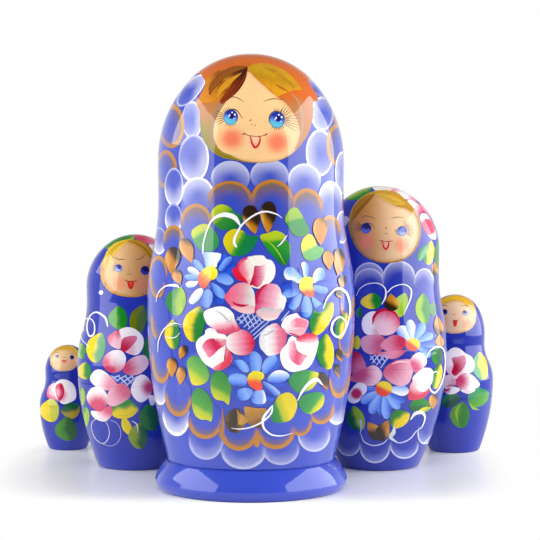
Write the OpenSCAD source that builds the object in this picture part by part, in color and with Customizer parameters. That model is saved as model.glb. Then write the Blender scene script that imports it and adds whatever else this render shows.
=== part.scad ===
// A set of five wooden nesting dolls: four that pull apart into halves and a solid smallest one.
// Each hollow doll is sized from the inside out, around the doll that it holds.

/* [Smallest doll] */
// Height of the smallest doll
smallest_height = 48.5; // [36:0.5:60]
// Radius of its belly
smallest_belly_r = 13.1; // [9:0.1:16]
// Height of the widest ring of its belly
smallest_belly_z = 20.5; // [13:0.5:23]
// Radius of its head
smallest_head_r = 10.4; // [7:0.1:13]
// How much taller its dome is than a half ball
smallest_dome_rise = 1.5; // [0.5:0.1:4]
// How much slimmer its neck is than its head
smallest_neck_dip = 0.1; // [0.1:0.05:1]
// How far its neck lies below the widest ring of its head
smallest_neck_drop = 3.5; // [1:0.1:5]
// Radius of the base that it stands on
smallest_base_r = 8.8; // [6:0.1:11]
// Rounding of its base
smallest_base_edge = 0.8; // [0.3:0.1:2]

/* [Fourth doll] */
// Wood under its hollow
fourth_floor_t = 8; // [5:0.1:12]
// Air above the doll inside
fourth_head_room = 8.5; // [1:0.1:16]
// Wood over the top of its hollow
fourth_crown_t = 7.5; // [4:0.1:12]
// Air around the belly of the doll inside
fourth_belly_gap = 0.9; // [0.4:0.1:6]
// Air around the head of the doll inside
fourth_head_gap = 0.8; // [0.4:0.1:6]
// Wall of its head and of its hollow at the floor
fourth_wall_t = 2.6; // [1.6:0.1:5]
// Wall of the lip that plugs into the upper half
fourth_lip_t = 1.7; // [1:0.1:4]
// Height of the lip
fourth_lip_h = 6; // [3:0.1:10]
// Wall of the upper half around the lip
fourth_socket_t = 2.1; // [1.2:0.1:5]
// Height of the widest ring of its belly
fourth_belly_z = 33; // [20:0.5:36]
// How far the joint lies below the widest ring
fourth_joint_drop = 7; // [0.5:0.1:9]
// How much taller its dome is than a half ball
fourth_dome_rise = 4.4; // [0.5:0.1:8]
// How much slimmer its neck is than its head
fourth_neck_dip = 0.1; // [0.1:0.05:1]
// How far its neck lies below the widest ring of its head
fourth_neck_drop = 4; // [1:0.1:8]
// How much wider its base is than that of the doll inside
fourth_base_step = 2.7; // [0.5:0.1:6]
// Rounding of its base
fourth_base_edge = 1; // [0.3:0.1:2]

/* [Third doll] */
// Wood under its hollow
third_floor_t = 9; // [6:0.1:14]
// Air above the doll inside
third_head_room = 13.2; // [1:0.1:20]
// Wood over the top of its hollow
third_crown_t = 8; // [4:0.1:12]
// Air around the belly of the doll inside
third_belly_gap = 3.2; // [0.4:0.1:8]
// Air around the head of the doll inside
third_head_gap = 4.3; // [0.4:0.1:8]
// Wall of its head and of its hollow at the floor
third_wall_t = 3.2; // [1.8:0.1:6]
// Wall of the lip that plugs into the upper half
third_lip_t = 2.1; // [1:0.1:5]
// Height of the lip
third_lip_h = 8; // [4:0.1:12]
// Wall of the upper half around the lip
third_socket_t = 2.4; // [1.4:0.1:5]
// Height of the widest ring of its belly
third_belly_z = 45.5; // [30:0.5:52]
// How far the joint lies below the widest ring
third_joint_drop = 7.5; // [0.5:0.1:10]
// How much taller its dome is than a half ball
third_dome_rise = 1.5; // [0.5:0.1:8]
// How much slimmer its neck is than its head
third_neck_dip = 0.1; // [0.1:0.05:1]
// How far its neck lies below the widest ring of its head
third_neck_drop = 6; // [1:0.1:10]
// How much wider its base is than that of the doll inside
third_base_step = 5.1; // [0.5:0.1:9]
// Rounding of its base
third_base_edge = 1.2; // [0.3:0.1:3]

/* [Second doll] */
// Wood under its hollow
second_floor_t = 9; // [6:0.1:14]
// Air above the doll inside
second_head_room = 5.3; // [1:0.1:16]
// Wood over the top of its hollow
second_crown_t = 7; // [4:0.1:12]
// Air around the belly of the doll inside
second_belly_gap = 0.5; // [0.3:0.1:6]
// Air around the head of the doll inside
second_head_gap = 1.4; // [0.4:0.1:6]
// Wall of its head and of its hollow at the floor
second_wall_t = 3.2; // [1.8:0.1:6]
// Wall of the lip that plugs into the upper half
second_lip_t = 1.6; // [1:0.1:5]
// Height of the lip
second_lip_h = 10.5; // [4:0.1:14]
// Wall of the upper half around the lip
second_socket_t = 1.9; // [1.4:0.1:6]
// Height of the widest ring of its belly
second_belly_z = 51; // [38:0.5:62]
// How far the joint lies below the widest ring
second_joint_drop = 5; // [0.5:0.1:9]
// How much taller its dome is than a half ball
second_dome_rise = 1.2; // [0.5:0.1:8]
// How much slimmer its neck is than its head
second_neck_dip = 0.1; // [0.1:0.05:1]
// How far its neck lies below the widest ring of its head
second_neck_drop = 10; // [1:0.1:14]
// How much wider its base is than that of the doll inside
second_base_step = 0.8; // [0.3:0.1:6]
// Rounding of its base
second_base_edge = 1.2; // [0.3:0.1:3]

/* [Outer doll] */
// Wood under its hollow, foot included
outer_floor_t = 24; // [18:0.5:34]
// Air above the doll inside
outer_head_room = 24; // [4:0.5:40]
// Wood over the top of its hollow
outer_crown_t = 8; // [5:0.1:14]
// Air around the belly of the doll inside
outer_belly_gap = 6.8; // [0.5:0.1:12]
// Air around the head of the doll inside
outer_head_gap = 7.3; // [0.5:0.1:12]
// Wall of its head and of its hollow at the floor
outer_wall_t = 4.8; // [2.5:0.1:8]
// Wall of the lip that plugs into the upper half
outer_lip_t = 3; // [1.5:0.1:6]
// Height of the lip
outer_lip_h = 12; // [6:0.5:18]
// Wall of the upper half around the lip
outer_socket_t = 3.4; // [2:0.1:8]
// Height of the widest ring of its belly
outer_belly_z = 77; // [60:0.5:92]
// How far the joint lies below the widest ring
outer_joint_drop = 7.5; // [0.5:0.1:14]
// How much taller its dome is than a half ball
outer_dome_rise = 5.4; // [0.5:0.1:12]
// How much slimmer its neck is than its head
outer_neck_dip = 0.1; // [0.1:0.05:2]
// How far its neck lies below the widest ring of its head
outer_neck_drop = 16; // [2:0.5:24]
// How far the foot of its body is drawn in from the belly
outer_waist_tuck = 8.1; // [2:0.1:14]

/* [Foot of the outer doll] */
// Height of the turned foot
foot_h = 13; // [9:0.1:18]
// How far the foot flares out past the body
foot_flare = 5; // [1:0.1:9]
// Height of the widest ring of the foot
foot_edge_z = 4.4; // [3:0.1:7]
// How far the foot draws in below its widest ring
foot_edge_in = 2.6; // [1:0.1:4]
// Radius of the swelling side of the foot
foot_side_r = 24; // [16:0.5:60]
// Width of the groove over the foot
groove_w = 1; // [0.5:0.1:2]
// Depth of the groove over the foot
groove_d = 0.5; // [0.2:0.05:1]

/* [Joints] */
// Radial play between a lip and its socket
fit_gap = 0.1; // [0.05:0.01:0.3]
// Air over the end of a lip
end_gap = 0.4; // [0.2:0.05:1]
// Break on the edges of the joint
joint_break = 0.25; // [0.1:0.05:0.5]

/* [Standing apart] */
// Air between the outer and the second doll
second_stand_gap = 7.3; // [2:0.1:30]
// Bearing of the second doll from the outer one
second_bearing = 45.3; // [20:0.1:70]
// Air between the outer and the third doll
third_stand_gap = 8.2; // [2:0.1:30]
// Bearing of the third doll from the outer one
third_bearing = 132.2; // [110:0.1:160]
// Air between the second and the fourth doll
fourth_stand_gap = 9.6; // [2:0.1:30]
// Bearing of the fourth doll from the second one
fourth_bearing = 49.5; // [20:0.1:70]
// Air between the third and the smallest doll
smallest_stand_gap = 21.4; // [2:0.1:40]
// Bearing of the smallest doll from the third one
smallest_bearing = 125.5; // [110:0.1:160]

/* [Hidden] */
$fn = 160;
arc_step = 2;
crown_share = 0.91;

fourth_height = fourth_floor_t + smallest_height + fourth_head_room + fourth_crown_t;
third_height = third_floor_t + fourth_height + third_head_room + third_crown_t;
second_height = second_floor_t + third_height + second_head_room + second_crown_t;
outer_height = outer_floor_t + second_height + outer_head_room + outer_crown_t;

// Bore of the lip, and the belly built up around it
fourth_bore_r = smallest_belly_r + fourth_belly_gap;
fourth_lip_r = fourth_bore_r + fourth_lip_t;
fourth_belly_r = fourth_lip_r + fit_gap + fourth_socket_t;
third_bore_r = fourth_belly_r + third_belly_gap;
third_lip_r = third_bore_r + third_lip_t;
third_belly_r = third_lip_r + fit_gap + third_socket_t;
second_bore_r = third_belly_r + second_belly_gap;
second_lip_r = second_bore_r + second_lip_t;
second_belly_r = second_lip_r + fit_gap + second_socket_t;
outer_bore_r = second_belly_r + outer_belly_gap;
outer_lip_r = outer_bore_r + outer_lip_t;
outer_belly_r = outer_lip_r + fit_gap + outer_socket_t;

// Hollow of the head, and the head built up around it
fourth_hollow_r = smallest_head_r + fourth_head_gap;
fourth_head_r = fourth_hollow_r + fourth_wall_t + fourth_neck_dip;
third_hollow_r = fourth_head_r + third_head_gap;
third_head_r = third_hollow_r + third_wall_t + third_neck_dip;
second_hollow_r = third_head_r + second_head_gap;
second_head_r = second_hollow_r + second_wall_t + second_neck_dip;
outer_hollow_r = second_head_r + outer_head_gap;
outer_head_r = outer_hollow_r + outer_wall_t + outer_neck_dip;

fourth_base_r = smallest_base_r + fourth_base_step;
third_base_r = fourth_base_r + third_base_step;
second_base_r = third_base_r + second_base_step;
outer_body_r = outer_belly_r - outer_waist_tuck;
foot_r = outer_body_r + foot_flare;

second_at = reach([0, 0], outer_belly_r + second_stand_gap + second_belly_r, second_bearing);
third_at = reach([0, 0], outer_belly_r + third_stand_gap + third_belly_r, third_bearing);
fourth_at = reach(second_at, second_belly_r + fourth_stand_gap + fourth_belly_r, fourth_bearing);
smallest_at = reach(third_at, third_belly_r + smallest_stand_gap + smallest_belly_r, smallest_bearing);

// Sizes of one doll each: [belly, belly height, base, base height] and so on, outer one first
outer = 0;
second = 1;
third = 2;
fourth = 3;
smallest = 4;
heights = [outer_height, second_height, third_height, fourth_height, smallest_height];
belly_rs = [outer_belly_r, second_belly_r, third_belly_r, fourth_belly_r, smallest_belly_r];
belly_zs = [outer_belly_z, second_belly_z, third_belly_z, fourth_belly_z, smallest_belly_z];
base_rs = [outer_body_r, second_base_r, third_base_r, fourth_base_r, smallest_base_r];
base_zs = [foot_h, 0, 0, 0, 0];
base_edges = [0, second_base_edge, third_base_edge, fourth_base_edge, smallest_base_edge];
head_rs = [outer_head_r, second_head_r, third_head_r, fourth_head_r, smallest_head_r];
rises = [outer_dome_rise, second_dome_rise, third_dome_rise, fourth_dome_rise, smallest_dome_rise];
neck_dips = [outer_neck_dip, second_neck_dip, third_neck_dip, fourth_neck_dip, smallest_neck_dip];
neck_drops = [outer_neck_drop, second_neck_drop, third_neck_drop, fourth_neck_drop, smallest_neck_drop];
joint_drops = [outer_joint_drop, second_joint_drop, third_joint_drop, fourth_joint_drop];
bore_rs = [outer_bore_r, second_bore_r, third_bore_r, fourth_bore_r];
lip_rs = [outer_lip_r, second_lip_r, third_lip_r, fourth_lip_r];
lip_hs = [outer_lip_h, second_lip_h, third_lip_h, fourth_lip_h];
hollow_rs = [outer_hollow_r, second_hollow_r, third_hollow_r, fourth_hollow_r];
floor_ts = [outer_floor_t, second_floor_t, third_floor_t, fourth_floor_t];
crown_ts = [outer_crown_t, second_crown_t, third_crown_t, fourth_crown_t];
wall_ts = [outer_wall_t, second_wall_t, third_wall_t, fourth_wall_t];

function reach(from, far, bearing) = from + far * [cos(bearing), sin(bearing)];

// Radius of an arc that leaves its wide end upright, and of an S curve that is upright at both ends
function rise_arc_r(out, up) = (out * out + up * up) / (2 * out);
function s_arc_r(p, q) = norm(q - p) * norm(q - p) / (4 * abs(q.x - p.x));

function right_of(p, q) = [q.y - p.y, p.x - q.x] / norm(q - p);

// Points of the arc from p up to, but without, q; it swells to the right of the way where r is positive
function arc_points(p, q, r) =
  let (
    half = norm(q - p) / 2,
    centre = (p + q) / 2 - sign(r) * right_of(p, q) * sqrt(r * r - half * half),
    start = atan2(p.y - centre.y, p.x - centre.x),
    sweep = sign(r) * 2 * asin(half / abs(r)),
    steps = ceil(abs(sweep) / arc_step)
  )
  [for (i = [0 : steps - 1]) centre + abs(r) * [cos(start + sweep * i / steps), sin(start + sweep * i / steps)]];

function s_points(p, q) =
  let (r = s_arc_r(p, q) * sign(p.x - q.x), middle = (p + q) / 2)
  concat(arc_points(p, middle, r), arc_points(middle, q, -r));

// Dome of two arcs, from its widest ring at p up to the axis
function dome_crown_r(r) = r * crown_share;
function dome_side_r(r, h) =
  (r * r + h * h - 2 * dome_crown_r(r) * h) / (2 * (r - dome_crown_r(r)));
function dome_meeting(p, h) =
  let (
    side = [p.x - dome_side_r(p.x, h), p.y],
    crown = [0, p.y + h - dome_crown_r(p.x)]
  )
  crown + dome_crown_r(p.x) * (crown - side) / norm(crown - side);
function dome_up(p, h) =
  let (meeting = dome_meeting(p, h))
  concat(
    arc_points(p, meeting, dome_side_r(p.x, h)),
    arc_points(meeting, [0, p.y + h], dome_crown_r(p.x)),
    [[0, p.y + h]]
  );
function dome_down(p, h) =
  let (meeting = dome_meeting(p, h))
  concat(
    arc_points([0, p.y + h], meeting, -dome_crown_r(p.x)),
    arc_points(meeting, p, -dome_side_r(p.x, h))
  );

// Side of a body under the widest ring of its belly
function side_arc_r(k) = rise_arc_r(belly_rs[k] - base_rs[k], belly_zs[k] - base_zs[k]);
function side_r(k, z) =
  belly_rs[k] - side_arc_r(k) + sqrt(pow(side_arc_r(k), 2) - pow(belly_zs[k] - z, 2));
function side_at(k, z) = [side_r(k, z), z];

function joint_z(k) = belly_zs[k] - joint_drops[k];
function head_z(k) = heights[k] - head_rs[k] - rises[k];
function neck_at(k) = [head_rs[k] - neck_dips[k], head_z(k) - neck_drops[k]];
function hollow_z(k) = heights[k] - crown_ts[k] - hollow_rs[k] - rises[k];

// Outer side from a point on the body up over the head
function upper_outline(k, from) =
  concat(
    arc_points(from, [belly_rs[k], belly_zs[k]], side_arc_r(k)),
    s_points([belly_rs[k], belly_zs[k]], neck_at(k)),
    s_points(neck_at(k), [head_rs[k], head_z(k)]),
    dome_up([head_rs[k], head_z(k)], head_rs[k] + rises[k])
  );

// Rounded edge of a base, from the flat underside up to the side
function base_outline(k) =
  let (
    flat = [base_rs[k] - base_edges[k], 0],
    side = side_at(k, base_edges[k]),
    r = pow(norm(side - flat), 2) / (2 * side.y)
  )
  concat([[0, 0]], arc_points(flat, side, r));

// Flared foot with a groove over it, from the underside up to the body
function foot_outline() =
  let (
    flat = [foot_r - foot_edge_in, 0],
    wide = [foot_r, foot_edge_z],
    top = [outer_body_r + groove_d, foot_h - groove_w],
    under_r = pow(norm(wide - flat), 2) / (2 * foot_edge_in)
  )
  concat(
    [[0, 0]],
    arc_points(flat, wide, under_r),
    arc_points(wide, top, foot_side_r),
    [top, [outer_body_r - groove_d, foot_h - groove_w / 2]]
  );

// Lower half: the body below the joint, with a lip that stands up from it around the hollow
module lower_half(k) {
  rim_z = joint_z(k) - joint_break;
  body_from = side_at(k, k == outer ? foot_h : base_edges[k]);
  lip_top = joint_z(k) + lip_hs[k];
  floor_at = [side_r(k, floor_ts[k]) - wall_ts[k], floor_ts[k]];
  bore_at = [bore_rs[k], joint_z(k)];
  hollow_arc_r = rise_arc_r(bore_at.x - floor_at.x, bore_at.y - floor_at.y);
  rotate_extrude()
    polygon(concat(
      k == outer ? foot_outline() : base_outline(k),
      arc_points(body_from, side_at(k, rim_z), side_arc_r(k)),
      [
        side_at(k, rim_z),
        [side_r(k, rim_z) - joint_break, joint_z(k)],
        [lip_rs[k], joint_z(k)],
        [lip_rs[k], lip_top - joint_break],
        [lip_rs[k] - joint_break, lip_top],
        [bore_rs[k], lip_top]
      ],
      arc_points(bore_at, floor_at, -hollow_arc_r),
      [floor_at, [0, floor_ts[k]]]
    ));
}

// Upper half: the rest of the body and the head, with a socket that the lip plugs into
module upper_half(k) {
  rim_z = joint_z(k) + joint_break;
  socket_r = lip_rs[k] + fit_gap;
  step_z = joint_z(k) + lip_hs[k] + end_gap;
  rotate_extrude()
    polygon(concat(
      [[socket_r, joint_z(k)], [side_r(k, rim_z) - joint_break, joint_z(k)]],
      upper_outline(k, side_at(k, rim_z)),
      dome_down([hollow_rs[k], hollow_z(k)], hollow_rs[k] + rises[k]),
      s_points([hollow_rs[k], hollow_z(k)], [bore_rs[k], step_z]),
      [[bore_rs[k], step_z], [socket_r, step_z]]
    ));
}

module solid_doll(k) {
  rotate_extrude()
    polygon(concat(base_outline(k), upper_outline(k, side_at(k, base_edges[k]))));
}

module outer_lower() { color("SlateBlue") lower_half(outer); }
module outer_upper() { color("SlateBlue") upper_half(outer); }
module second_lower() { color("RoyalBlue") translate(second_at) lower_half(second); }
module second_upper() { color("RoyalBlue") translate(second_at) upper_half(second); }
module third_lower() { color("RoyalBlue") translate(third_at) lower_half(third); }
module third_upper() { color("RoyalBlue") translate(third_at) upper_half(third); }
module fourth_lower() { color("RoyalBlue") translate(fourth_at) lower_half(fourth); }
module fourth_upper() { color("RoyalBlue") translate(fourth_at) upper_half(fourth); }
module smallest_doll() { color("RoyalBlue") translate(smallest_at) solid_doll(smallest); }

outer_lower();
outer_upper();
second_lower();
second_upper();
third_lower();
third_upper();
fourth_lower();
fourth_upper();
smallest_doll();
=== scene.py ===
import math

import bmesh
import bpy
import numpy as np
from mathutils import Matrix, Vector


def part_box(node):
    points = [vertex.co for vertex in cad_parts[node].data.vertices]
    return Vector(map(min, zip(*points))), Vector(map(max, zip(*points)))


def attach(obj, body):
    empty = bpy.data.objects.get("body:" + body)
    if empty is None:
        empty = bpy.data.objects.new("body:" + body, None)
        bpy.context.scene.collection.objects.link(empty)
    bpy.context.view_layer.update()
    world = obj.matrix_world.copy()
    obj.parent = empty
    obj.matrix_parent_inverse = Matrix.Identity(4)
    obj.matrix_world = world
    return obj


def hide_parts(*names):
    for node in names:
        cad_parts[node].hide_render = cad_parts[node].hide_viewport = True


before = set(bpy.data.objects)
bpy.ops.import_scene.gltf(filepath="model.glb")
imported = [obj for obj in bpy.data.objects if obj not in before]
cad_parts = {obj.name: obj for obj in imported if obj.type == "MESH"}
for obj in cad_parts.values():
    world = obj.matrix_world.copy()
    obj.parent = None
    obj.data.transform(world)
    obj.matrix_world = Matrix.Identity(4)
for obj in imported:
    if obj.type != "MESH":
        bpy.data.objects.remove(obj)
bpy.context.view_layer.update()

# Camera: at the height of the largest doll's eyes, tilted a little down; picture sizes are in pixels
EYE = np.array([0.0079, -0.860, 0.150])
PITCH = math.radians(3.94)
FOCAL = 2079.0
SIDE = 540.0
SENSOR_MM = 36.0

# Sheets of the picture: the pixel at the sheet's corner, and the sheet's units to a pixel
OUTER_HEAD = 150, 40, 7
OUTER_CHEST = 150, 160, 7
OUTER_SKIRT = 150, 350, 7
OUTER_SIDES = 150, 250, 6.03
OUTER_BOUQUET = 192, 248, 10
SECOND_HEAD = 330, 170, 9.8
SECOND_BODY = 330, 300, 8.71
THIRD_SHEET = 70, 220, 6.03
FOURTH_SHEET = 430, 280, 8.71
SMALLEST_SHEET = 30, 330, 12.06

# Facets around a shell, heights in a doll's table of radii, and the reach of the broken edges at a joint
TURNS = 192
PROFILE_STEPS = 900
JOINT_EDGE = 0.0006
# Height of the hairline seam between two halves, so that their faces part when one is twisted
SEAM = 2e-5
# How far from the joint the paint ends, and how high its first layer and each later one lie
PAINT_END = 3e-5
FIRST_LAYER, NEXT_LAYER = 3e-5, 2e-6
# Span over which the slope of an outline is taken, and the steepest slope in use
SLOPE_SPAN, STEEPEST = 4e-4, 12
# Points of a CAD outline this near to each other are one, and a turn of this many degrees is a corner
CELL, ONE_POINT, CORNER = 2e-5, 1.5e-5, 7
TINY = 1e-9
# The wood is bare this far below the outer surface, and on the base
BARE_DEPTH, BASE_LEVEL = 0.0007, 2e-5
# Size of a facet of paint, to the square root of the doll's radius
FACET = 0.0028
# A ray from the camera: steps along it, its reach in half spans of the doll, and halvings of the last step
RAY_STEPS, RAY_REACH, HALVINGS = 56, 1.1, 16
# Shares of a doll's height over which paint past its side stops going round it
CROWN = 0.93, 0.85
# Closed shapes: points of the first outline, least and most facets around and across, and the filled middle
OUTLINE_STEPS, AROUND, RINGS, HUB = 240, (20, 260), (3, 40), 0.04


def linear(hex_colour):
    c = np.array([int(hex_colour[i:i + 2], 16) for i in (0, 2, 4)]) / 255.0
    return np.where(c <= 0.04045, c / 12.92, ((c + 0.055) / 1.055) ** 2.4)


def tone(colour):
    """A colour given by its hex digits or already mixed."""
    return linear(colour) if isinstance(colour, str) else colour


def mix(a, b, t):
    t = np.clip(np.asarray(t, float), 0, 1)[..., None]
    return np.asarray(a) * (1 - t) + np.asarray(b) * t


def smooth(lo, hi, x):
    t = np.clip((np.asarray(x, float) - lo) / (hi - lo), 0, 1)
    return t * t * (3 - 2 * t)


def ripple(x, seed, waves=6):
    """Brush marks: a sum of sines with set phases, from -1 to 1."""
    r = np.random.default_rng(seed)
    rates = r.uniform(0.6, 3.2, waves)
    phases = r.uniform(0, 6.28, waves)
    total = sum(np.sin(np.asarray(x, float) * rate * 2 + phase) for rate, phase in zip(rates, phases))
    return total / waves ** 0.5 / 1.4


def curve(points, n, closed=False):
    """Catmull-Rom curve through points, with n samples."""
    p = np.asarray(points, float)
    if closed:
        q = np.vstack([p[-1], p, p[0], p[1]])
        spans = len(p)
    else:
        q = np.vstack([2 * p[0] - p[1], p, 2 * p[-1] - p[-2]])
        spans = len(p) - 1
    s = np.linspace(0, spans, n, endpoint=not closed)
    i = np.minimum(s.astype(int), spans - 1)
    t = (s - i)[:, None]
    a, b, c, d = q[i], q[i + 1], q[i + 2], q[i + 3]
    return 0.5 * (2 * b + (c - a) * t + (2 * a - 5 * b + 4 * c - d) * t ** 2
                  + (3 * b - a - 3 * c + d) * t ** 3)


def outline(name, axis):
    """Outline of a CAD node, walked from its mesh: (radius, height) pairs in order."""
    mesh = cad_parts[name].data
    co = np.empty(len(mesh.vertices) * 3)
    mesh.vertices.foreach_get("co", co)
    co = co.reshape(-1, 3)
    rz = np.column_stack([np.hypot(co[:, 0] - axis[0], co[:, 1] - axis[1]), co[:, 2]])
    cell, back = np.unique(np.round(rz / CELL).astype(int), axis=0, return_inverse=True)
    back = back.ravel()
    mean = np.zeros((len(cell), 2))
    np.add.at(mean, back, rz)
    mean /= np.bincount(back)[:, None]
    # Cells on either side of a rounding edge are one point
    same = np.arange(len(mean))
    for i in range(len(mean)):
        near = np.where(np.hypot(*(mean[:i] - mean[i]).T) < ONE_POINT)[0]
        if len(near):
            same[i] = same[near[0]]
    edges = np.empty(len(mesh.edges) * 2, int)
    mesh.edges.foreach_get("vertices", edges)
    pairs = same[back][edges.reshape(-1, 2)]
    links = {}
    for a, b in {tuple(sorted(p)) for p in pairs.tolist() if p[0] != p[1]}:
        links.setdefault(a, []).append(b)
        links.setdefault(b, []).append(a)
    ends = [i for i in links if len(links[i]) == 1]
    walk = [min(ends, key=lambda i: mean[i][1])]
    seen = set(walk)
    while True:
        step = [j for j in links[walk[-1]] if j not in seen]
        if not step:
            return mean[walk]
        walk.append(step[0])
        seen.add(step[0])


def refine(path, extra=3):
    """Adds points between those of each smooth stretch; returns points and which of them are corners."""
    d = np.diff(path, axis=0)
    way = np.degrees(np.arctan2(d[:, 1], d[:, 0]))
    turn = np.abs((np.diff(way) + 180) % 360 - 180)
    corner = np.concatenate([[True], turn > CORNER, [True]])
    unit = d / np.linalg.norm(d, axis=1)[:, None]
    points, sharp = [], []
    for i in range(len(d)):
        span = np.linalg.norm(d[i])
        t0 = unit[i] if corner[i] else unit[i - 1] + unit[i]
        t1 = unit[i] if corner[i + 1] else unit[i] + unit[i + 1]
        t0, t1 = (span * t / np.linalg.norm(t) for t in (t0, t1))
        n = extra if not (corner[i] and corner[i + 1]) else 1
        for s in np.arange(n) / n:
            h = (2 * s ** 3 - 3 * s ** 2 + 1, s ** 3 - 2 * s ** 2 + s,
                 3 * s ** 2 - 2 * s ** 3, s ** 3 - s ** 2)
            points.append(h[0] * path[i] + h[1] * t0 + h[2] * path[i + 1] + h[3] * t1)
            sharp.append(corner[i] and s == 0)
    return np.vstack([points, path[-1]]), np.array(sharp + [True])


class Doll:
    """A turned doll: its halves from the CAD, its radius at each height, and the paint drawn on it."""

    def __init__(self, name, parts):
        self.name, self.parts = name, parts
        lo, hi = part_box(parts[0])
        self.axis = np.array([(lo.x + hi.x) / 2, (lo.y + hi.y) / 2])
        self.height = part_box(parts[-1])[1].z
        self.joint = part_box(parts[-1])[0].z if len(parts) > 1 else None
        self.outlines = {p: refine(outline(p, self.axis)) for p in parts}
        self.grid = np.linspace(0, self.height, PROFILE_STEPS)
        self.out = self.profile()
        self.groups, self.level = {}, 0

    def profile(self):
        """The outermost radius at each height, carried straight across the joint's broken edges."""
        grid, out = self.grid, np.zeros(len(self.grid))
        for path, _ in self.outlines.values():
            for a, b in zip(path[:-1], path[1:]):
                low, high = (a, b) if a[1] < b[1] else (b, a)
                if high[1] - low[1] > TINY:
                    hit = (grid >= low[1] - TINY) & (grid <= high[1] + TINY)
                    across = np.interp(grid[hit], [low[1], high[1]], [low[0], high[0]])
                    out[hit] = np.maximum(out[hit], across)
        if self.joint:
            clear = np.abs(grid - self.joint) > JOINT_EDGE
            out = np.interp(grid, grid[clear], out[clear])
        return out

    def radius(self, z):
        return np.interp(z, self.grid, self.out)

    def slope(self, z):
        rise = self.radius(z + SLOPE_SPAN / 2) - self.radius(z - SLOPE_SPAN / 2)
        return np.clip(rise / SLOPE_SPAN, -STEEPEST, STEEPEST)

    def at(self, phi, z, off):
        """Point at an angle from the front and a height, raised off the surface along its normal."""
        slope = self.slope(z)
        n = np.sqrt(1 + slope ** 2)
        r = self.radius(z) + off / n
        x, y = self.axis[0] + r * np.sin(phi), self.axis[1] - r * np.cos(phi)
        return np.stack([x, y, z - off * slope / n], -1)

    def cast(self, x, y):
        """Angle and height where the picture's point meets the doll."""
        dx = (np.asarray(x, float) - SIDE / 2) / FOCAL
        up = (SIDE / 2 - np.asarray(y, float)) / FOCAL
        dy = math.cos(PITCH) + up * math.sin(PITCH)
        dz = -math.sin(PITCH) + up * math.cos(PITCH)
        ox, oy = EYE[0] - self.axis[0], EYE[1] - self.axis[1]
        a = dx * dx + dy * dy
        b = ox * dx + oy * dy
        wide = self.out.max() * 1.02
        span = np.sqrt(np.maximum(b * b - a * (ox * ox + oy * oy - wide * wide), 1e-8)) / a
        near = -b / a - span

        def outside(t):
            z = EYE[2] + t * dz
            r = np.where(z > self.height, self.height - z, self.radius(np.clip(z, 0, self.height)))
            return np.hypot(ox + t * dx, oy + t * dy) - r
        # First step along the ray that is inside, or else the nearest one to the surface
        steps = np.linspace(0, RAY_REACH, RAY_STEPS)
        gaps = np.stack([outside(near + span * k) for k in steps])
        hit = gaps < 0
        first = np.where(hit.any(0), hit.argmax(0), gaps.argmin(0))
        hi = near + span * steps[first]
        lo = np.where(hit.any(0), near + span * steps[np.maximum(first - 1, 0)], hi)
        for _ in range(HALVINGS):
            mid = (lo + hi) / 2
            inside = outside(mid) < 0
            hi, lo = np.where(inside, mid, hi), np.where(inside, lo, mid)
        z = np.clip(EYE[2] + hi * dz, 0, self.height - 1e-5)
        phi = np.arctan2(ox + hi * dx, -(oy + hi * dy))
        # A point drawn past the doll's side goes on round it, by how far it lies past, except near the crown
        past = np.clip(gaps.min(0) / np.maximum(self.radius(z), 1e-3), 0, 1)
        past *= smooth(*CROWN, z / self.height)
        return phi + np.sign(phi) * np.arccos(1 - past), z


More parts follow.
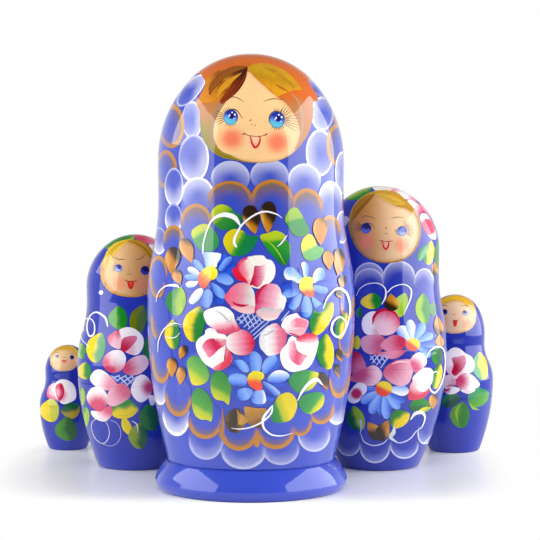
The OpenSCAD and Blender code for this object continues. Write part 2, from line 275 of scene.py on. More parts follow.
class Pen:
    """Draws on a doll in the units of one sheet of the picture, or in degrees and millimetres."""

    def __init__(self, doll, group, x0=None, y0=None, scale=1.0):
        self.doll, self.group, self.x0, self.y0, self.scale = doll, group, x0, y0, scale
        self.hold = False
        body = float(doll.out.max())
        self.unit = math.radians(body) if x0 is None else (doll.axis[1] - EYE[1]) / FOCAL / scale
        self.facet = FACET * math.sqrt(body)

    def place(self, uv):
        if self.x0 is None:
            return np.radians(uv[..., 0]), uv[..., 1] * 1e-3
        return self.doll.cast(self.x0 + uv[..., 0] / self.scale, self.y0 + uv[..., 1] / self.scale)

    def sheet(self, uv, colour, ring=False):
        """One layer of paint from a grid of points and colours; a ring is closed and its middle filled."""
        d = self.doll
        d.level += 0 if self.hold else 1
        phi, z = self.place(uv)
        rows, cols = uv.shape[:2]
        store = d.groups.setdefault(self.group, {"xyz": [], "rgb": [], "faces": [], "count": 0})
        i = np.arange(rows * cols).reshape(rows, cols) + store["count"]
        if ring:
            i = np.hstack([i, i[:, :1]])
        faces = np.stack([i[:-1, :-1], i[:-1, 1:], i[1:, 1:], i[1:, :-1]], -1).reshape(-1, 4).tolist()
        if ring:
            faces.append(i[0, :-1].tolist()[::-1])
        store["faces"] += [f[::-1] for f in faces] if self.x0 is None else faces
        store["xyz"].append(d.at(phi, z, FIRST_LAYER + d.level * NEXT_LAYER).reshape(-1, 3))
        store["rgb"].append(np.broadcast_to(colour, uv.shape[:2] + (3,)).reshape(-1, 3))
        store["count"] += rows * cols

    def fill(self, points, tint, centre=None):
        """Closed shape. tint(rho, angle, uv) gives the colour at each point."""
        edge = curve(points, OUTLINE_STEPS, True)
        following = np.roll(edge, -1, 0)
        if np.sum(edge[:, 0] * following[:, 1] - following[:, 0] * edge[:, 1]) < 0:
            points = np.asarray(points)[::-1]
        c = np.mean(edge, 0) if centre is None else np.asarray(centre, float)
        around = np.linalg.norm(following - edge, axis=1).sum() * self.unit
        reach = np.linalg.norm(edge - c, axis=1).max() * self.unit
        edge = curve(points, int(np.clip(around / self.facet, *AROUND)), True)
        rings = int(np.clip(reach / self.facet, *RINGS))
        rho = np.linspace(HUB, 1, rings + 1)[:, None]
        uv = c + (edge[None] - c) * rho[..., None]
        angle = np.arctan2(edge[:, 1] - c[1], edge[:, 0] - c[0])[None] + 0 * rho
        self.sheet(uv, tint(rho + 0 * angle, angle, uv), ring=True)

    def oval(self, c, rx, ry, turn, tint):
        a = np.linspace(0, 2 * math.pi, 20, endpoint=False)
        t = math.radians(turn)
        p = np.column_stack([rx * np.cos(a), ry * np.sin(a)])
        p = p @ np.array([[math.cos(t), math.sin(t)], [-math.sin(t), math.cos(t)]])
        self.fill(p + np.asarray(c, float), tint, centre=c)

    def band(self, degrees, low, high, colour, rows=28):
        """Paint between two heights in millimetres, each given at every angle."""
        t = np.linspace(0, 1, rows)[:, None] ** 2
        z = high * (1 - t) + low * t
        self.sheet(np.stack([degrees + 0 * z, z], -1), colour)

    def dot(self, c, r, colour):
        self.oval(c, r, r, 0, lambda rho, a, uv: tone(colour))

    def stroke(self, points, widths, colour, n=48, across=4):
        """A brush line with full widths at its points; colour is one, or a function of (along, across)."""
        p = curve(points, n)
        w = np.maximum(curve(np.column_stack([widths, widths]), n)[:, 0], 0)
        t = np.gradient(p, axis=0)
        t /= np.linalg.norm(t, axis=1)[:, None] + TINY
        side = np.column_stack([-t[:, 1], t[:, 0]])
        s = np.linspace(-0.5, 0.5, across + 1)
        uv = p[:, None] + side[:, None] * (s[None, :, None] * w[:, None, None])
        # Round ends
        pad = np.sqrt(np.maximum(0, 1 - (2 * s) ** 2))[None, :, None]
        uv = np.concatenate([uv[:1] - t[0] * pad * w[0] / 2, uv, uv[-1:] + t[-1] * pad * w[-1] / 2])
        along = np.linspace(0, 1, len(uv))[:, None] + 0 * s
        tint = colour(along, s[None] + 0 * along) if callable(colour) else tone(colour)
        self.sheet(uv, np.asarray(tint))


# Materials

def principled(name):
    m = bpy.data.materials.new(name)
    m.use_nodes = True
    return m, m.node_tree, m.node_tree.nodes["Principled BSDF"]


def node(tree, kind, **inputs):
    """A shader node with its inputs and its own settings given by name."""
    n = tree.nodes.new(kind)
    for setting in ("operation", "interpolation_type"):
        if setting in inputs:
            setattr(n, setting, inputs.pop(setting))
    for k, v in inputs.items():
        n.inputs[k.replace("_", " ")].default_value = v
    return n


def lacquer(bsdf):
    """Clear gloss over paint that has little shine of its own."""
    bsdf.inputs["Roughness"].default_value = 0.38
    bsdf.inputs["Specular IOR Level"].default_value = 0.12
    bsdf.inputs["Coat Weight"].default_value = 1.0
    bsdf.inputs["Coat Roughness"].default_value = 0.035
    bsdf.inputs["Coat IOR"].default_value = 1.52


def relief(tree, bsdf, height, strength, distance):
    bump = node(tree, "ShaderNodeBump", Strength=strength, Distance=distance)
    tree.links.new(height, bump.inputs["Height"])
    tree.links.new(bump.outputs["Normal"], bsdf.inputs["Normal"])


def brushed(tree, bsdf, spread):
    """Uneven paint: the colour varies a little, and the brush leaves a faint relief under the lacquer."""
    where = tree.nodes.new("ShaderNodeTexCoord")
    fine = node(tree, "ShaderNodeTexNoise", Scale=900.0, Detail=3.0, Roughness=0.6)
    wide = node(tree, "ShaderNodeTexNoise", Scale=70.0, Detail=4.0, Roughness=0.55)
    for noise in (fine, wide):
        tree.links.new(where.outputs["Object"], noise.inputs["Vector"])
    level = node(tree, "ShaderNodeMapRange", From_Min=0.3, From_Max=0.7,
                 To_Min=1 - spread, To_Max=1 + spread)
    tree.links.new(wide.outputs["Fac"], level.inputs["Value"])
    hsv = tree.nodes.new("ShaderNodeHueSaturation")
    tree.links.new(level.outputs["Result"], hsv.inputs["Value"])
    tree.links.new(hsv.outputs["Color"], bsdf.inputs["Base Color"])
    relief(tree, bsdf, fine.outputs["Fac"], 0.06, 0.0002)
    return hsv.inputs["Color"]


def blue_paint(name, colour):
    m, tree, bsdf = principled(name)
    lacquer(bsdf)
    brushed(tree, bsdf, 0.05).default_value = (*colour, 1)
    return m


def stroke_paint():
    m, tree, bsdf = principled("brush_paint")
    lacquer(bsdf)
    attribute = tree.nodes.new("ShaderNodeAttribute")
    attribute.attribute_name = "tint"
    tree.links.new(attribute.outputs["Color"], brushed(tree, bsdf, 0.06))
    return m


def bare_wood():
    """Turned linden: grain drawn out along the axis, and faint rings."""
    m, tree, bsdf = principled("turned_linden")
    bsdf.inputs["Roughness"].default_value = 0.62
    where = tree.nodes.new("ShaderNodeTexCoord")
    stretch = node(tree, "ShaderNodeMapping", Scale=(1.0, 1.0, 0.12))
    tree.links.new(where.outputs["Object"], stretch.inputs["Vector"])
    grain = node(tree, "ShaderNodeTexNoise", Scale=420.0, Detail=5.0, Roughness=0.65)
    rings = node(tree, "ShaderNodeTexWave", Scale=60.0, Distortion=6.0, Detail=3.0, Detail_Scale=1.5)
    for texture in (grain, rings):
        tree.links.new(stretch.outputs["Vector"], texture.inputs["Vector"])
    grain_share = node(tree, "ShaderNodeMath", operation="MULTIPLY")
    grain_share.inputs[1].default_value = 0.6
    tree.links.new(grain.outputs["Fac"], grain_share.inputs[0])
    both = node(tree, "ShaderNodeMath", operation="MULTIPLY_ADD")
    both.inputs[1].default_value = 0.45
    tree.links.new(rings.outputs["Fac"], both.inputs[0])
    tree.links.new(grain_share.outputs["Value"], both.inputs[2])
    ramp = tree.nodes.new("ShaderNodeValToRGB")
    for stop, position, colour in zip(ramp.color_ramp.elements, (0.15, 0.75), ("d6b380", "eed8b0")):
        stop.color = (*linear(colour), 1)
        stop.position = position
    tree.links.new(both.outputs["Value"], ramp.inputs["Fac"])
    tree.links.new(ramp.outputs["Color"], bsdf.inputs["Base Color"])
    relief(tree, bsdf, grain.outputs["Fac"], 0.15, 0.0003)
    return m


# The smaller dolls have the largest one's blue paint; their darker blue is painted shade, for the less light
# that reaches them
PERIWINKLE, SHADED_BLUE = linear("354abc"), linear("2133a8")
dolls = {name: Doll(name, [name + "_lower", name + "_upper"])
         for name in ("outer", "second", "third", "fourth")}
dolls["smallest"] = Doll("smallest", ["smallest_doll"])
outer_paint = blue_paint("periwinkle_paint", PERIWINKLE)
# The smaller dolls' blue, darkened as painted shade
shaded_paint = blue_paint("shaded_blue_paint", SHADED_BLUE)
wood = bare_wood()
paint = stroke_paint()


def show(name, mesh, body, *materials):
    for m in materials:
        mesh.materials.append(m)
    o = bpy.data.objects.new(name, mesh)
    bpy.context.scene.collection.objects.link(o)
    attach(o, body)
    return o


def shell(doll, part):
    """The turned piece itself, smooth, painted outside and bare wood inside."""
    path, sharp = doll.outlines[part]
    if part != doll.parts[0]:
        path = path + np.outer(path[:, 1] < doll.joint + 1e-6, (0, SEAM))
    angles = np.linspace(0, 2 * math.pi, TURNS, endpoint=False)
    rings, verts, count = [], [], 0
    for r, z in path:
        # A point on the axis is one vertex
        r, spin = (r, angles) if r > 1e-6 else (0, angles[:1])
        rings.append(np.arange(len(spin)) + count)
        x, y = doll.axis[0] + r * np.sin(spin), doll.axis[1] - r * np.cos(spin)
        verts.append(np.column_stack([x, y, np.full(len(spin), z)]))
        count += len(spin)
    faces, bare = [], []
    for i in range(len(path) - 1):
        lo, hi = rings[i], rings[i + 1]
        mid = (path[i] + path[i + 1]) / 2
        inside = mid[0] < doll.radius(mid[1]) - BARE_DEPTH or mid[1] < BASE_LEVEL
        corners = [lo, np.roll(lo, -1)] if len(lo) > 1 else [np.resize(lo, TURNS)]
        corners += [np.roll(hi, -1), hi] if len(hi) > 1 else [np.resize(hi, TURNS)]
        faces += np.stack(corners, -1).tolist()
        bare += [int(inside)] * TURNS
    for ring, way in ((rings[0], -1), (rings[-1], 1)):
        if len(ring) > 1:
            faces.append(ring.tolist()[::way])
            bare.append(1)
    mesh = bpy.data.meshes.new(part + "_shell")
    mesh.from_pydata(np.vstack(verts).tolist(), [], faces)
    mesh.polygons.foreach_set("use_smooth", [True] * len(faces))
    mesh.polygons.foreach_set("material_index", bare)
    edged = {int(v) for ring, corner in zip(rings, sharp) if corner and len(ring) > 1 for v in ring}
    for e in mesh.edges:
        a, b = e.vertices
        level = abs(mesh.vertices[a].co.z - mesh.vertices[b].co.z) < 1e-7
        if a in edged and b in edged and level:
            e.use_edge_sharp = True
    mesh.update()
    outer = doll.name == "outer"
    # The smaller dolls take the blue that is darkened as painted shade
    o = show(part + "_shell", mesh, part, outer_paint if outer else shaded_paint, wood)
    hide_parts(part)


def cut_at_joint(doll, mesh, upper):
    bm = bmesh.new()
    bm.from_mesh(mesh)
    bmesh.ops.bisect_plane(
        bm, geom=bm.verts[:] + bm.edges[:] + bm.faces[:], dist=1e-8, clear_outer=True, clear_inner=False,
        plane_co=(0, 0, doll.joint + (PAINT_END if upper else -PAINT_END)),
        plane_no=(0, 0, -1 if upper else 1))
    bm.to_mesh(mesh)
    bm.free()


def painted(doll, part, group, layers):
    """One half's share of the layers drawn under one name, as a mesh."""
    mesh = bpy.data.meshes.new(f"{part}_{group}")
    rgb = np.vstack(layers["rgb"])
    mesh.from_pydata(np.vstack(layers["xyz"]).tolist(), [], layers["faces"])
    tint = mesh.attributes.new("tint", "FLOAT_COLOR", "POINT")
    tint.data.foreach_set("color", np.column_stack([rgb, np.ones(len(rgb))]).ravel())
    if doll.joint:
        cut_at_joint(doll, mesh, part == doll.parts[1])
    if not len(mesh.polygons):
        bpy.data.meshes.remove(mesh)
        return
    # The lacquer lies smooth over paint and ground alike, so both share the turned surface's normals
    co = np.empty(len(mesh.vertices) * 3)
    mesh.vertices.foreach_get("co", co)
    co = co.reshape(-1, 3)
    flat = co[:, :2] - doll.axis
    flat /= np.linalg.norm(flat, axis=1)[:, None] + 1e-12
    normal = np.column_stack([flat, -doll.slope(co[:, 2])])
    normal /= np.linalg.norm(normal, axis=1)[:, None]
    mesh.polygons.foreach_set("use_smooth", [True] * len(mesh.polygons))
    mesh.normals_split_custom_set_from_vertices(normal.tolist())
    show(f"{part}_{group}", mesh, part, paint)


# Brush colours
WHITE, GOLD = linear("f8f8ff"), linear("bc7c20")
GREY_GOLD, PALE_BLUE = linear("80623e"), linear("a4b0f0")
FLESH, BLUSH = linear("f8ca90"), linear("f87c5c")
CRIMSON, PINK, PALE = linear("c40e3c"), linear("e77d9f"), linear("fdf3f4")
GREEN, DARK_GREEN, YELLOW, LIME = linear("0e8226"), linear("0a6230"), linear("f0d40a"), linear("98be14")
BUD, BUD_PALE, BUD_DARK = linear("c47c14"), linear("e0a844"), linear("2b1a08")
HAIR, HAIR_DARK, INK = linear("d4661a"), linear("5c240a"), linear("4a2a20")
# Tones across the petals of the largest doll's daisies: share of the way, and colour
LIGHT = {0: "2450cc", 0.25: "5a8cec", 0.7: "86b0f6", 1: "6f9cf0"}
BRIGHT = {0: "86a8f2", 0.3: "c4d6fb", 0.7: "f8f9ff", 1: "ffffff"}
DARK = {0: "1434aa", 0.5: "1f4cca", 1: "2c5ed8"}
SOFT = {0: "3462d8", 0.4: "6a96ee", 1: "86b0f4"}
# Bow of a leaf, in shares of its width
LEAF_BEND = 0.12
# Tones across the petals of the smaller daisies
DAISY_SHARES = 0.05, 0.3, 0.75, 1.0
DAISY_TONES = {
    "light": ("2450cc", "5f8eea", "92b8f6", "6f9cf0"), "dark": ("1536ac", "1f49c8", "3f74e0", "7aa6f0"),
    "white": ("6f9af0", "a4c0f8", "eef3ff", "fbfcff"),
}


def halves(*colours):
    """Tones of a leaf with one half dark and the other light."""
    return dict(zip((0, 0.5, 0.67, 1), colours))


# Tints of brush lines, as functions of (along, across)

def streaks(one, other, rate, seed, span=(-0.2, 0.9)):
    return lambda s, t: mix(linear(one), linear(other), smooth(*span, ripple(t * rate, seed)))


def strands(s, t):
    """Brown strands from the parting, lighter towards their ends."""
    light = smooth(-0.2, 0.9, 0.5 * ripple(t * 7 + s, 21) + 1.1 * s - 0.2)
    return mix(linear("2c0a02"), linear("8a3408"), light)


# Tints of scallops, as functions of (rho, angle, uv)

def scale_tint(ground, rim, fill, way, width, depth, fade, weak=0.0):
    """A bright rim, strongest one way, and inside it a fill that fades back into the ground."""
    w = math.radians(way)

    def tint(rho, a, uv):
        c = np.cos(a - w)
        body = mix(ground, fill, depth * smooth(*fade, 0.5 * rho * c + 0.5 * rho))
        edge = smooth(0.95 - width, 1.02 - width, rho + 0.012 * ripple(a * 4, 3))
        return mix(body, rim, edge * (weak + (1 - weak) * smooth(-0.35, 0.5, c)))
    return tint


def gilt(way, width, weak=0.0):
    return scale_tint(PERIWINKLE, GOLD, GREY_GOLD, way, width, 0.9, (0.0, 0.8), weak)


def bubble(way, rim=WHITE, weak=0.45):
    return scale_tint(PERIWINKLE, rim, mix(PERIWINKLE, WHITE, 0.6), way, 0.09, 0.85, (-0.1, 0.95), weak)


def arch(rim):
    return bubble(-90, rim, 0.0)


def hem_gold(way):
    return scale_tint(PERIWINKLE, GOLD, GREY_GOLD, way, 0.2, 0.8, (0.3, 0.85))


def hem_white(way, strength):
    rim, fill = (mix(PERIWINKLE, WHITE, share * strength) for share in (1.0, 0.6))
    return scale_tint(PERIWINKLE, rim, fill, way, 0.12, 1.0, (0.1, 0.95))


ARCH = scale_tint(SHADED_BLUE, mix(SHADED_BLUE, WHITE, 0.55), mix(SHADED_BLUE, WHITE, 0.32), -90, 0.1, 0.9, (0.1, 0.95))
HEM_LINE = scale_tint(SHADED_BLUE, mix(SHADED_BLUE, WHITE, 0.8), PALE_BLUE, 90, 0.07, 0.6, (0.2, 1.0))

# Brush tools


def wash(pen, points, a, b, tones, seed=1, rough=0.04):
    """A patch from a loaded brush: tones on the way from a to b, with streaks along the stroke."""
    a, b = np.asarray(a, float), np.asarray(b, float)
    way = b - a
    side = np.array([-way[1], way[0]])
    shares = list(tones)
    colours = np.array([linear(c) for c in tones.values()])

    def tint(rho, angle, uv):
        t = (uv - a) @ way / (way @ way)
        s = (uv - a) @ side / (way @ way)
        t = t + rough * ripple(s * 5, seed) + 0.5 * rough * ripple(s * 19, seed + 2)
        c = np.stack([np.interp(t, shares, colours[:, k]) for k in range(3)], -1)
        return c * (1 + 0.07 * ripple(t * 21, seed + 4))[..., None]
    pen.fill(points, tint)


def petal(pen, points, root, inner, outer, seed=1, spread=(0.25, 0.85), third=None, third_way=0.0):
    """One colour at the root, another at the rim, streaked; a third may lie on one side."""
    root = np.asarray(root, float)

    def tint(rho, a, uv):
        v = uv - root
        far = np.hypot(v[..., 0], v[..., 1])
        b = np.arctan2(v[..., 1], v[..., 0])
        t = far / far.max() + 0.03 * ripple(b * 4, seed) + 0.008 * ripple(b * 19, seed + 5)
        c = mix(tone(inner), tone(outer), smooth(*spread, t))
        if third is not None:
            side = np.cos(a - math.radians(third_way))
            c = mix(c, tone(third), 0.95 * smooth(0.35, 0.8, side) * smooth(0.3, 0.75, rho))
        return c
    pen.fill(points, tint)


def axes(tip, base):
    """The tip of a leaf or bud, the way to its base, and the unit across."""
    tip, base = np.asarray(tip, float), np.asarray(base, float)
    way = base - tip
    return tip, way, np.array([-way[1], way[0]]) / np.linalg.norm(way)


def leaf(pen, tip, base, width, upper, lower, seed):
    """A bowed leaf from tip to base, in one colour each side of its middle."""
    tip, way, side = axes(tip, base)
    shares = np.array([0, 0.12, 0.32, 0.58, 0.82, 0.97])
    half = np.array([0, 0.5, 0.92, 1.0, 0.74, 0.3]) * width / 2
    bow = LEAF_BEND * width * np.sin(np.pi * shares)
    one = [tip + way * a + side * (b + c) for a, b, c in zip(shares, half, bow)]
    two = [tip + way * a - side * (b - c) for a, b, c in zip(shares[1:], half[1:], bow[1:])][::-1]

    def tint(rho, a, uv):
        v = uv - tip
        across = (v @ side) / width
        along = (v @ way) / (way @ way)
        t = across - LEAF_BEND * np.sin(np.pi * np.clip(along, 0, 1))
        t = t + 0.07 * ripple(along * 2.2, seed) + 0.02 * ripple(along * 9, seed)
        c = mix(tone(lower), tone(upper), smooth(-0.14, 0.18, t))
        c = mix(c, DARK_GREEN, 0.3 * smooth(0.1, 0.9, ripple(t * 13, seed + 3)) * smooth(0.3, -0.1, t))
        return c * (1 + 0.05 * ripple(t * 24, seed + 6))[..., None]
    pen.fill(np.vstack([one, two]), tint, centre=tip + way * 0.5)


def daisy(pen, c, petals, heart, flame):
    """Petals as (direction, length, width, tone) over dark ones, and a yellow heart with a red side."""
    c = np.asarray(c, float)
    between = [((p[0] + q[0]) / 2, 0.86 * min(p[1], q[1]), 0.7 * min(p[2], q[2]), "dark")
               for p, q in zip(petals, petals[1:])]
    shares = np.array([0.1, 0.45, 0.75, 0.95])
    for i, (way, length, width, name) in enumerate(between + petals):
        a = math.radians(way)
        u, v = np.array([math.cos(a), math.sin(a)]), np.array([-math.sin(a), math.cos(a)])
        half = np.array([0.15, 0.7, 1.0, 0.62]) * width / 2
        points = [c + u * length * x + v * y for x, y in zip(shares, half)] + [c + u * length * 1.02]
        points += [c + u * length * x - v * y for x, y in zip(shares[::-1], half[::-1])]
        middle = c + u * length * 0.6
        tones = dict(zip(DAISY_SHARES, DAISY_TONES[name]))
        wash(pen, points, middle - v * width * 0.5, middle + v * width * 0.5, tones, seed=40 + i)

    def tint(rho, a, uv):
        side = np.cos(a - math.radians(flame))
        red = smooth(-0.3, 0.2, side * rho + 0.06 * ripple(a * 3, 2))
        return mix(linear("f2d410"), linear("e83010"), red)
    pen.oval(c, heart, heart * 0.92, 0, tint)


def bud(pen, tip, base, width, dark, seed):
    """A gold drop with a dark end at its base."""
    tip, way, side = axes(tip, base)
    shares = np.array([0, 0.25, 0.55, 0.82, 0.98])
    half = np.array([0.08, 0.62, 1.0, 0.85, 0.4]) * width / 2
    points = [tip + way * a + side * b for a, b in zip(shares, half)]
    points += [tip + way * a - side * b for a, b in zip(shares[::-1], half[::-1])]

    def tint(rho, a, uv):
        v = uv - tip
        along = (v @ way) / (way @ way)
        across = (v @ side) / width
        t = smooth(1 - dark - 0.2, 1 - dark + 0.2, along + 0.6 * across + 0.05 * ripple(across * 9, seed))
        gold = mix(BUD, BUD_PALE, smooth(0.0, 0.5, -across + 0.1 * ripple(across * 8, seed)))
        return mix(gold, BUD_DARK, t)
    pen.fill(points, tint)


def curl(pen, points, widths, colour=WHITE):
    pen.stroke(points, widths, colour, n=60)


def lattice(pen, lines, width):
    """Thin crossing lines between two points each."""
    pen.hold = True
    for a, b in lines:
        a, b = np.asarray(a, float), np.asarray(b, float)
        pen.stroke([a, (a + b) / 2, b], [width * 0.7, width, width * 0.7], "b9c6f4", n=10, across=2)
    pen.hold = False


def blush(pen, c, r, strength):
    def tint(rho, a, uv):
        return mix(FLESH, BLUSH, strength * (1 - smooth(0.2, 1.0, rho)))
    pen.oval(c, r, r * 0.94, 0, tint)


def iris(pen, c, r, low, middle, high, pupil):
    """Lighter below and darker above, with a dark pupil; returns the pupil's centre."""
    low, middle, high, pupil = linear(low), linear(middle), linear(high), linear(pupil)

    def tint(rho, a, uv):
        up = -np.sin(a) * rho + 0.25 * np.cos(a) * rho + 0.05 * ripple(a * 6, 9)
        k = mix(low, middle, smooth(-0.5, 0.1, up))
        return mix(mix(k, high, smooth(-0.05, 0.5, up)), linear("2a3470"), 0.6 * smooth(0.86, 1.0, rho))
    pen.oval(c, r, r * 1.05, 0, tint)
    p = np.asarray(c, float) + r * np.array([0.14, -0.22])
    pen.oval(p, r * 0.42, r * 0.46, 15, lambda rho, a, uv: mix(pupil, high, smooth(0.4, 1, rho)))
    return p


def eye(pen, c, r):
    """A large doll's eye, with white glints."""
    p = iris(pen, c, r, "62c0de", "5b7fdc", "1b2ea2", "0b1258")
    pen.hold = True
    glint = p + r * np.array([(-0.45, 0.2), (-0.3, 0.02), (-0.22, -0.2)])
    pen.stroke(glint, [r * 0.05, r * 0.2, r * 0.05], WHITE, n=10, across=3)
    lights = ((0.42, -0.12), 0.13, WHITE), ((0.06, -0.42), 0.11, WHITE), ((0.3, 0.42), 0.09, "bfe6f4")
    for at, size, colour in lights:
        pen.dot(p + r * np.array(at), r * size, colour)
    pen.hold = False


def fan(pen, c, ways, near, far, width):
    """Lashes: short lines out of a centre."""
    pen.hold = True
    for way in ways:
        a = math.radians(way)
        u = np.array([math.cos(a), math.sin(a)])
        p, q = np.asarray(c) + near * u, np.asarray(c) + far * u
        pen.stroke([p, (p + q) / 2, q], [width, width * 0.8, width * 0.4], INK, n=6, across=2)
    pen.hold = False


def crown_hair(pen):
    """The largest doll's hair over the crown, past the edge that the picture shows."""
    half_turn, full_turn, steps = 125, 84, 90
    drop_mm, under_top_mm = 8.6, 0.02
    around = np.linspace(-half_turn, half_turn, steps)
    top = pen.doll.height * 1e3
    low = top - drop_mm * smooth(half_turn, full_turn, np.abs(around))
    Pen(pen.doll, pen.group).band(around, low, np.full(steps, top - under_top_mm), HAIR)


def head_hair(pen, points, centre):
    """The largest doll's hair: red above, and below the brow brown to olive on the left."""
    brow, jaw, cheeks = (380, 480), (500, 640), (900, 520)

    def tint(rho, a, uv):
        olive = smooth(*cheeks, uv[..., 0]) * smooth(*jaw, uv[..., 1])
        c = mix(HAIR, mix(linear("bd7a48"), linear("9a8420"), olive), smooth(*brow, uv[..., 1]))
        return mix(c, HAIR_DARK, 0.16 * smooth(0.0, 1, ripple(uv[..., 0] * 0.02 + rho * 5, 8)))
    pen.fill(points, tint, centre)


def head_flesh(pen, points, centre):
    pen.fill(points, lambda rho, a, uv: mix(FLESH, linear("dca468"), 0.5 * smooth(0.9, 1.0, rho)), centre)


def small_face(pen, hair, flesh, hair_colours, part_at, left, right, blushes):
    """Hair as a full oval with streaks, then the flesh over it, from one side's colour to the other's; the
    darker side is painted shade.
    """
    top, low = (linear(c) for c in hair_colours)
    ys, xs = np.asarray(hair, float)[:, 1], np.asarray(flesh)[:, 0]
    y0, y1, x0, x1 = ys.min(), ys.max(), xs.min(), xs.max()

    def tint(rho, a, uv):
        v = uv - np.asarray(part_at, float)
        b = np.arctan2(v[..., 1], v[..., 0])
        c = mix(top, low, smooth(y0, 0.5 * (y0 + y1), uv[..., 1]))
        return mix(c, HAIR_DARK, 0.35 * smooth(0.0, 1.0, ripple(b * 16, 31)))
    pen.fill(hair, tint)

    def shaded_skin(rho, a, uv):
        # Flesh from the left side's colour to the right's: the darker side is painted shade
        c = mix(linear(left), linear(right), smooth(x0 + 0.1 * (x1 - x0), x1 - 0.2 * (x1 - x0), uv[..., 0]))
        for centre, reach, strength in blushes:
            far = np.linalg.norm(uv - np.asarray(centre, float), axis=-1) / reach
            c = mix(c, BLUSH, strength * (1 - smooth(0.2, 1.0, far)))
        return mix(c, linear("c08a50"), 0.5 * smooth(0.86, 1.0, rho))
    pen.fill(flesh, shaded_skin)


def mouth(pen, smile, lip, width, inside="f0a890"):
    pen.fill(lip, lambda rho, a, uv: linear(inside))
    pen.stroke(lip, [width * share for share in (1.2, 1.8, 2.0, 1.8, 1.2)], "d8241c", n=24, across=3)
    pen.stroke(smile, [width * 0.8] * len(smile), "9a2a22", n=20, across=2)


# The painting: places are in the units of each pen's sheet, and later strokes lie over earlier ones

def paint_outer_kerchief():
    d = dolls["outer"]
    pen = Pen(d, "kerchief", *OUTER_HEAD)
    pen.stroke([(1222, 385), (1272, 470), (1302, 570), (1312, 640)], [10, 26, 26, 10],
               mix(GREY_GOLD, GOLD, 0.6), n=30)
    for c, rx, ry, turn, way in [
            ((1168, 336), 92, 34, 46, -60), ((289, 353), 142, 56, 131, -20), ((295, 560), 70, 132, 0, 10),
            ((1205, 516), 80, 120, 0, 180), ((307, 828), 106, 168, 0, 40), ((1188, 790), 98, 164, 0, 170)]:
        pen.oval(c, rx, ry, turn, bubble(way))
    for c, rx, ry, way in [((114, 906), 76, 136, 0), ((150, 602), 92, 156, 0), ((1318, 732), 84, 152, 180)]:
        pen.oval(c, rx, ry, 0, gilt(way, 0.21, 0.7))
    pen = Pen(d, "kerchief", *OUTER_CHEST)
    for c, rx, ry, way in [
            ((169, 190), 66, 136, 80), ((166, 410), 60, 108, 100), ((66, 566), 48, 96, 100),
            ((1345, 90), 50, 150, 180), ((1345, 470), 44, 116, 180)]:
        pen.oval(c, rx, ry, 0, bubble(way))
    pale = mix(PERIWINKLE, WHITE, 0.55)
    for c, rx, ry, rim in [
            ((335, 242), 112, 122, WHITE), ((1262, 278), 84, 132, WHITE),
            ((1080, 142), 116, 118, mix(PERIWINKLE, WHITE, 0.75)), ((563, 124), 136, 118, pale),
            ((836, 108), 134, 112, pale)]:
        pen.oval(c, rx, ry, 0, arch(rim))
    for c, rx, ry, width in [
            ((165, 568), 74, 112, 0.2), ((60, 800), 64, 132, 0.18), ((1260, 512), 76, 126, 0.2),
            ((324, 436), 110, 130, 0.18), ((1098, 340), 114, 142, 0.19), ((560, 276), 156, 130, 0.13),
            ((855, 282), 150, 146, 0.16)]:
        pen.oval(c, rx, ry, 0, gilt(-90, width))


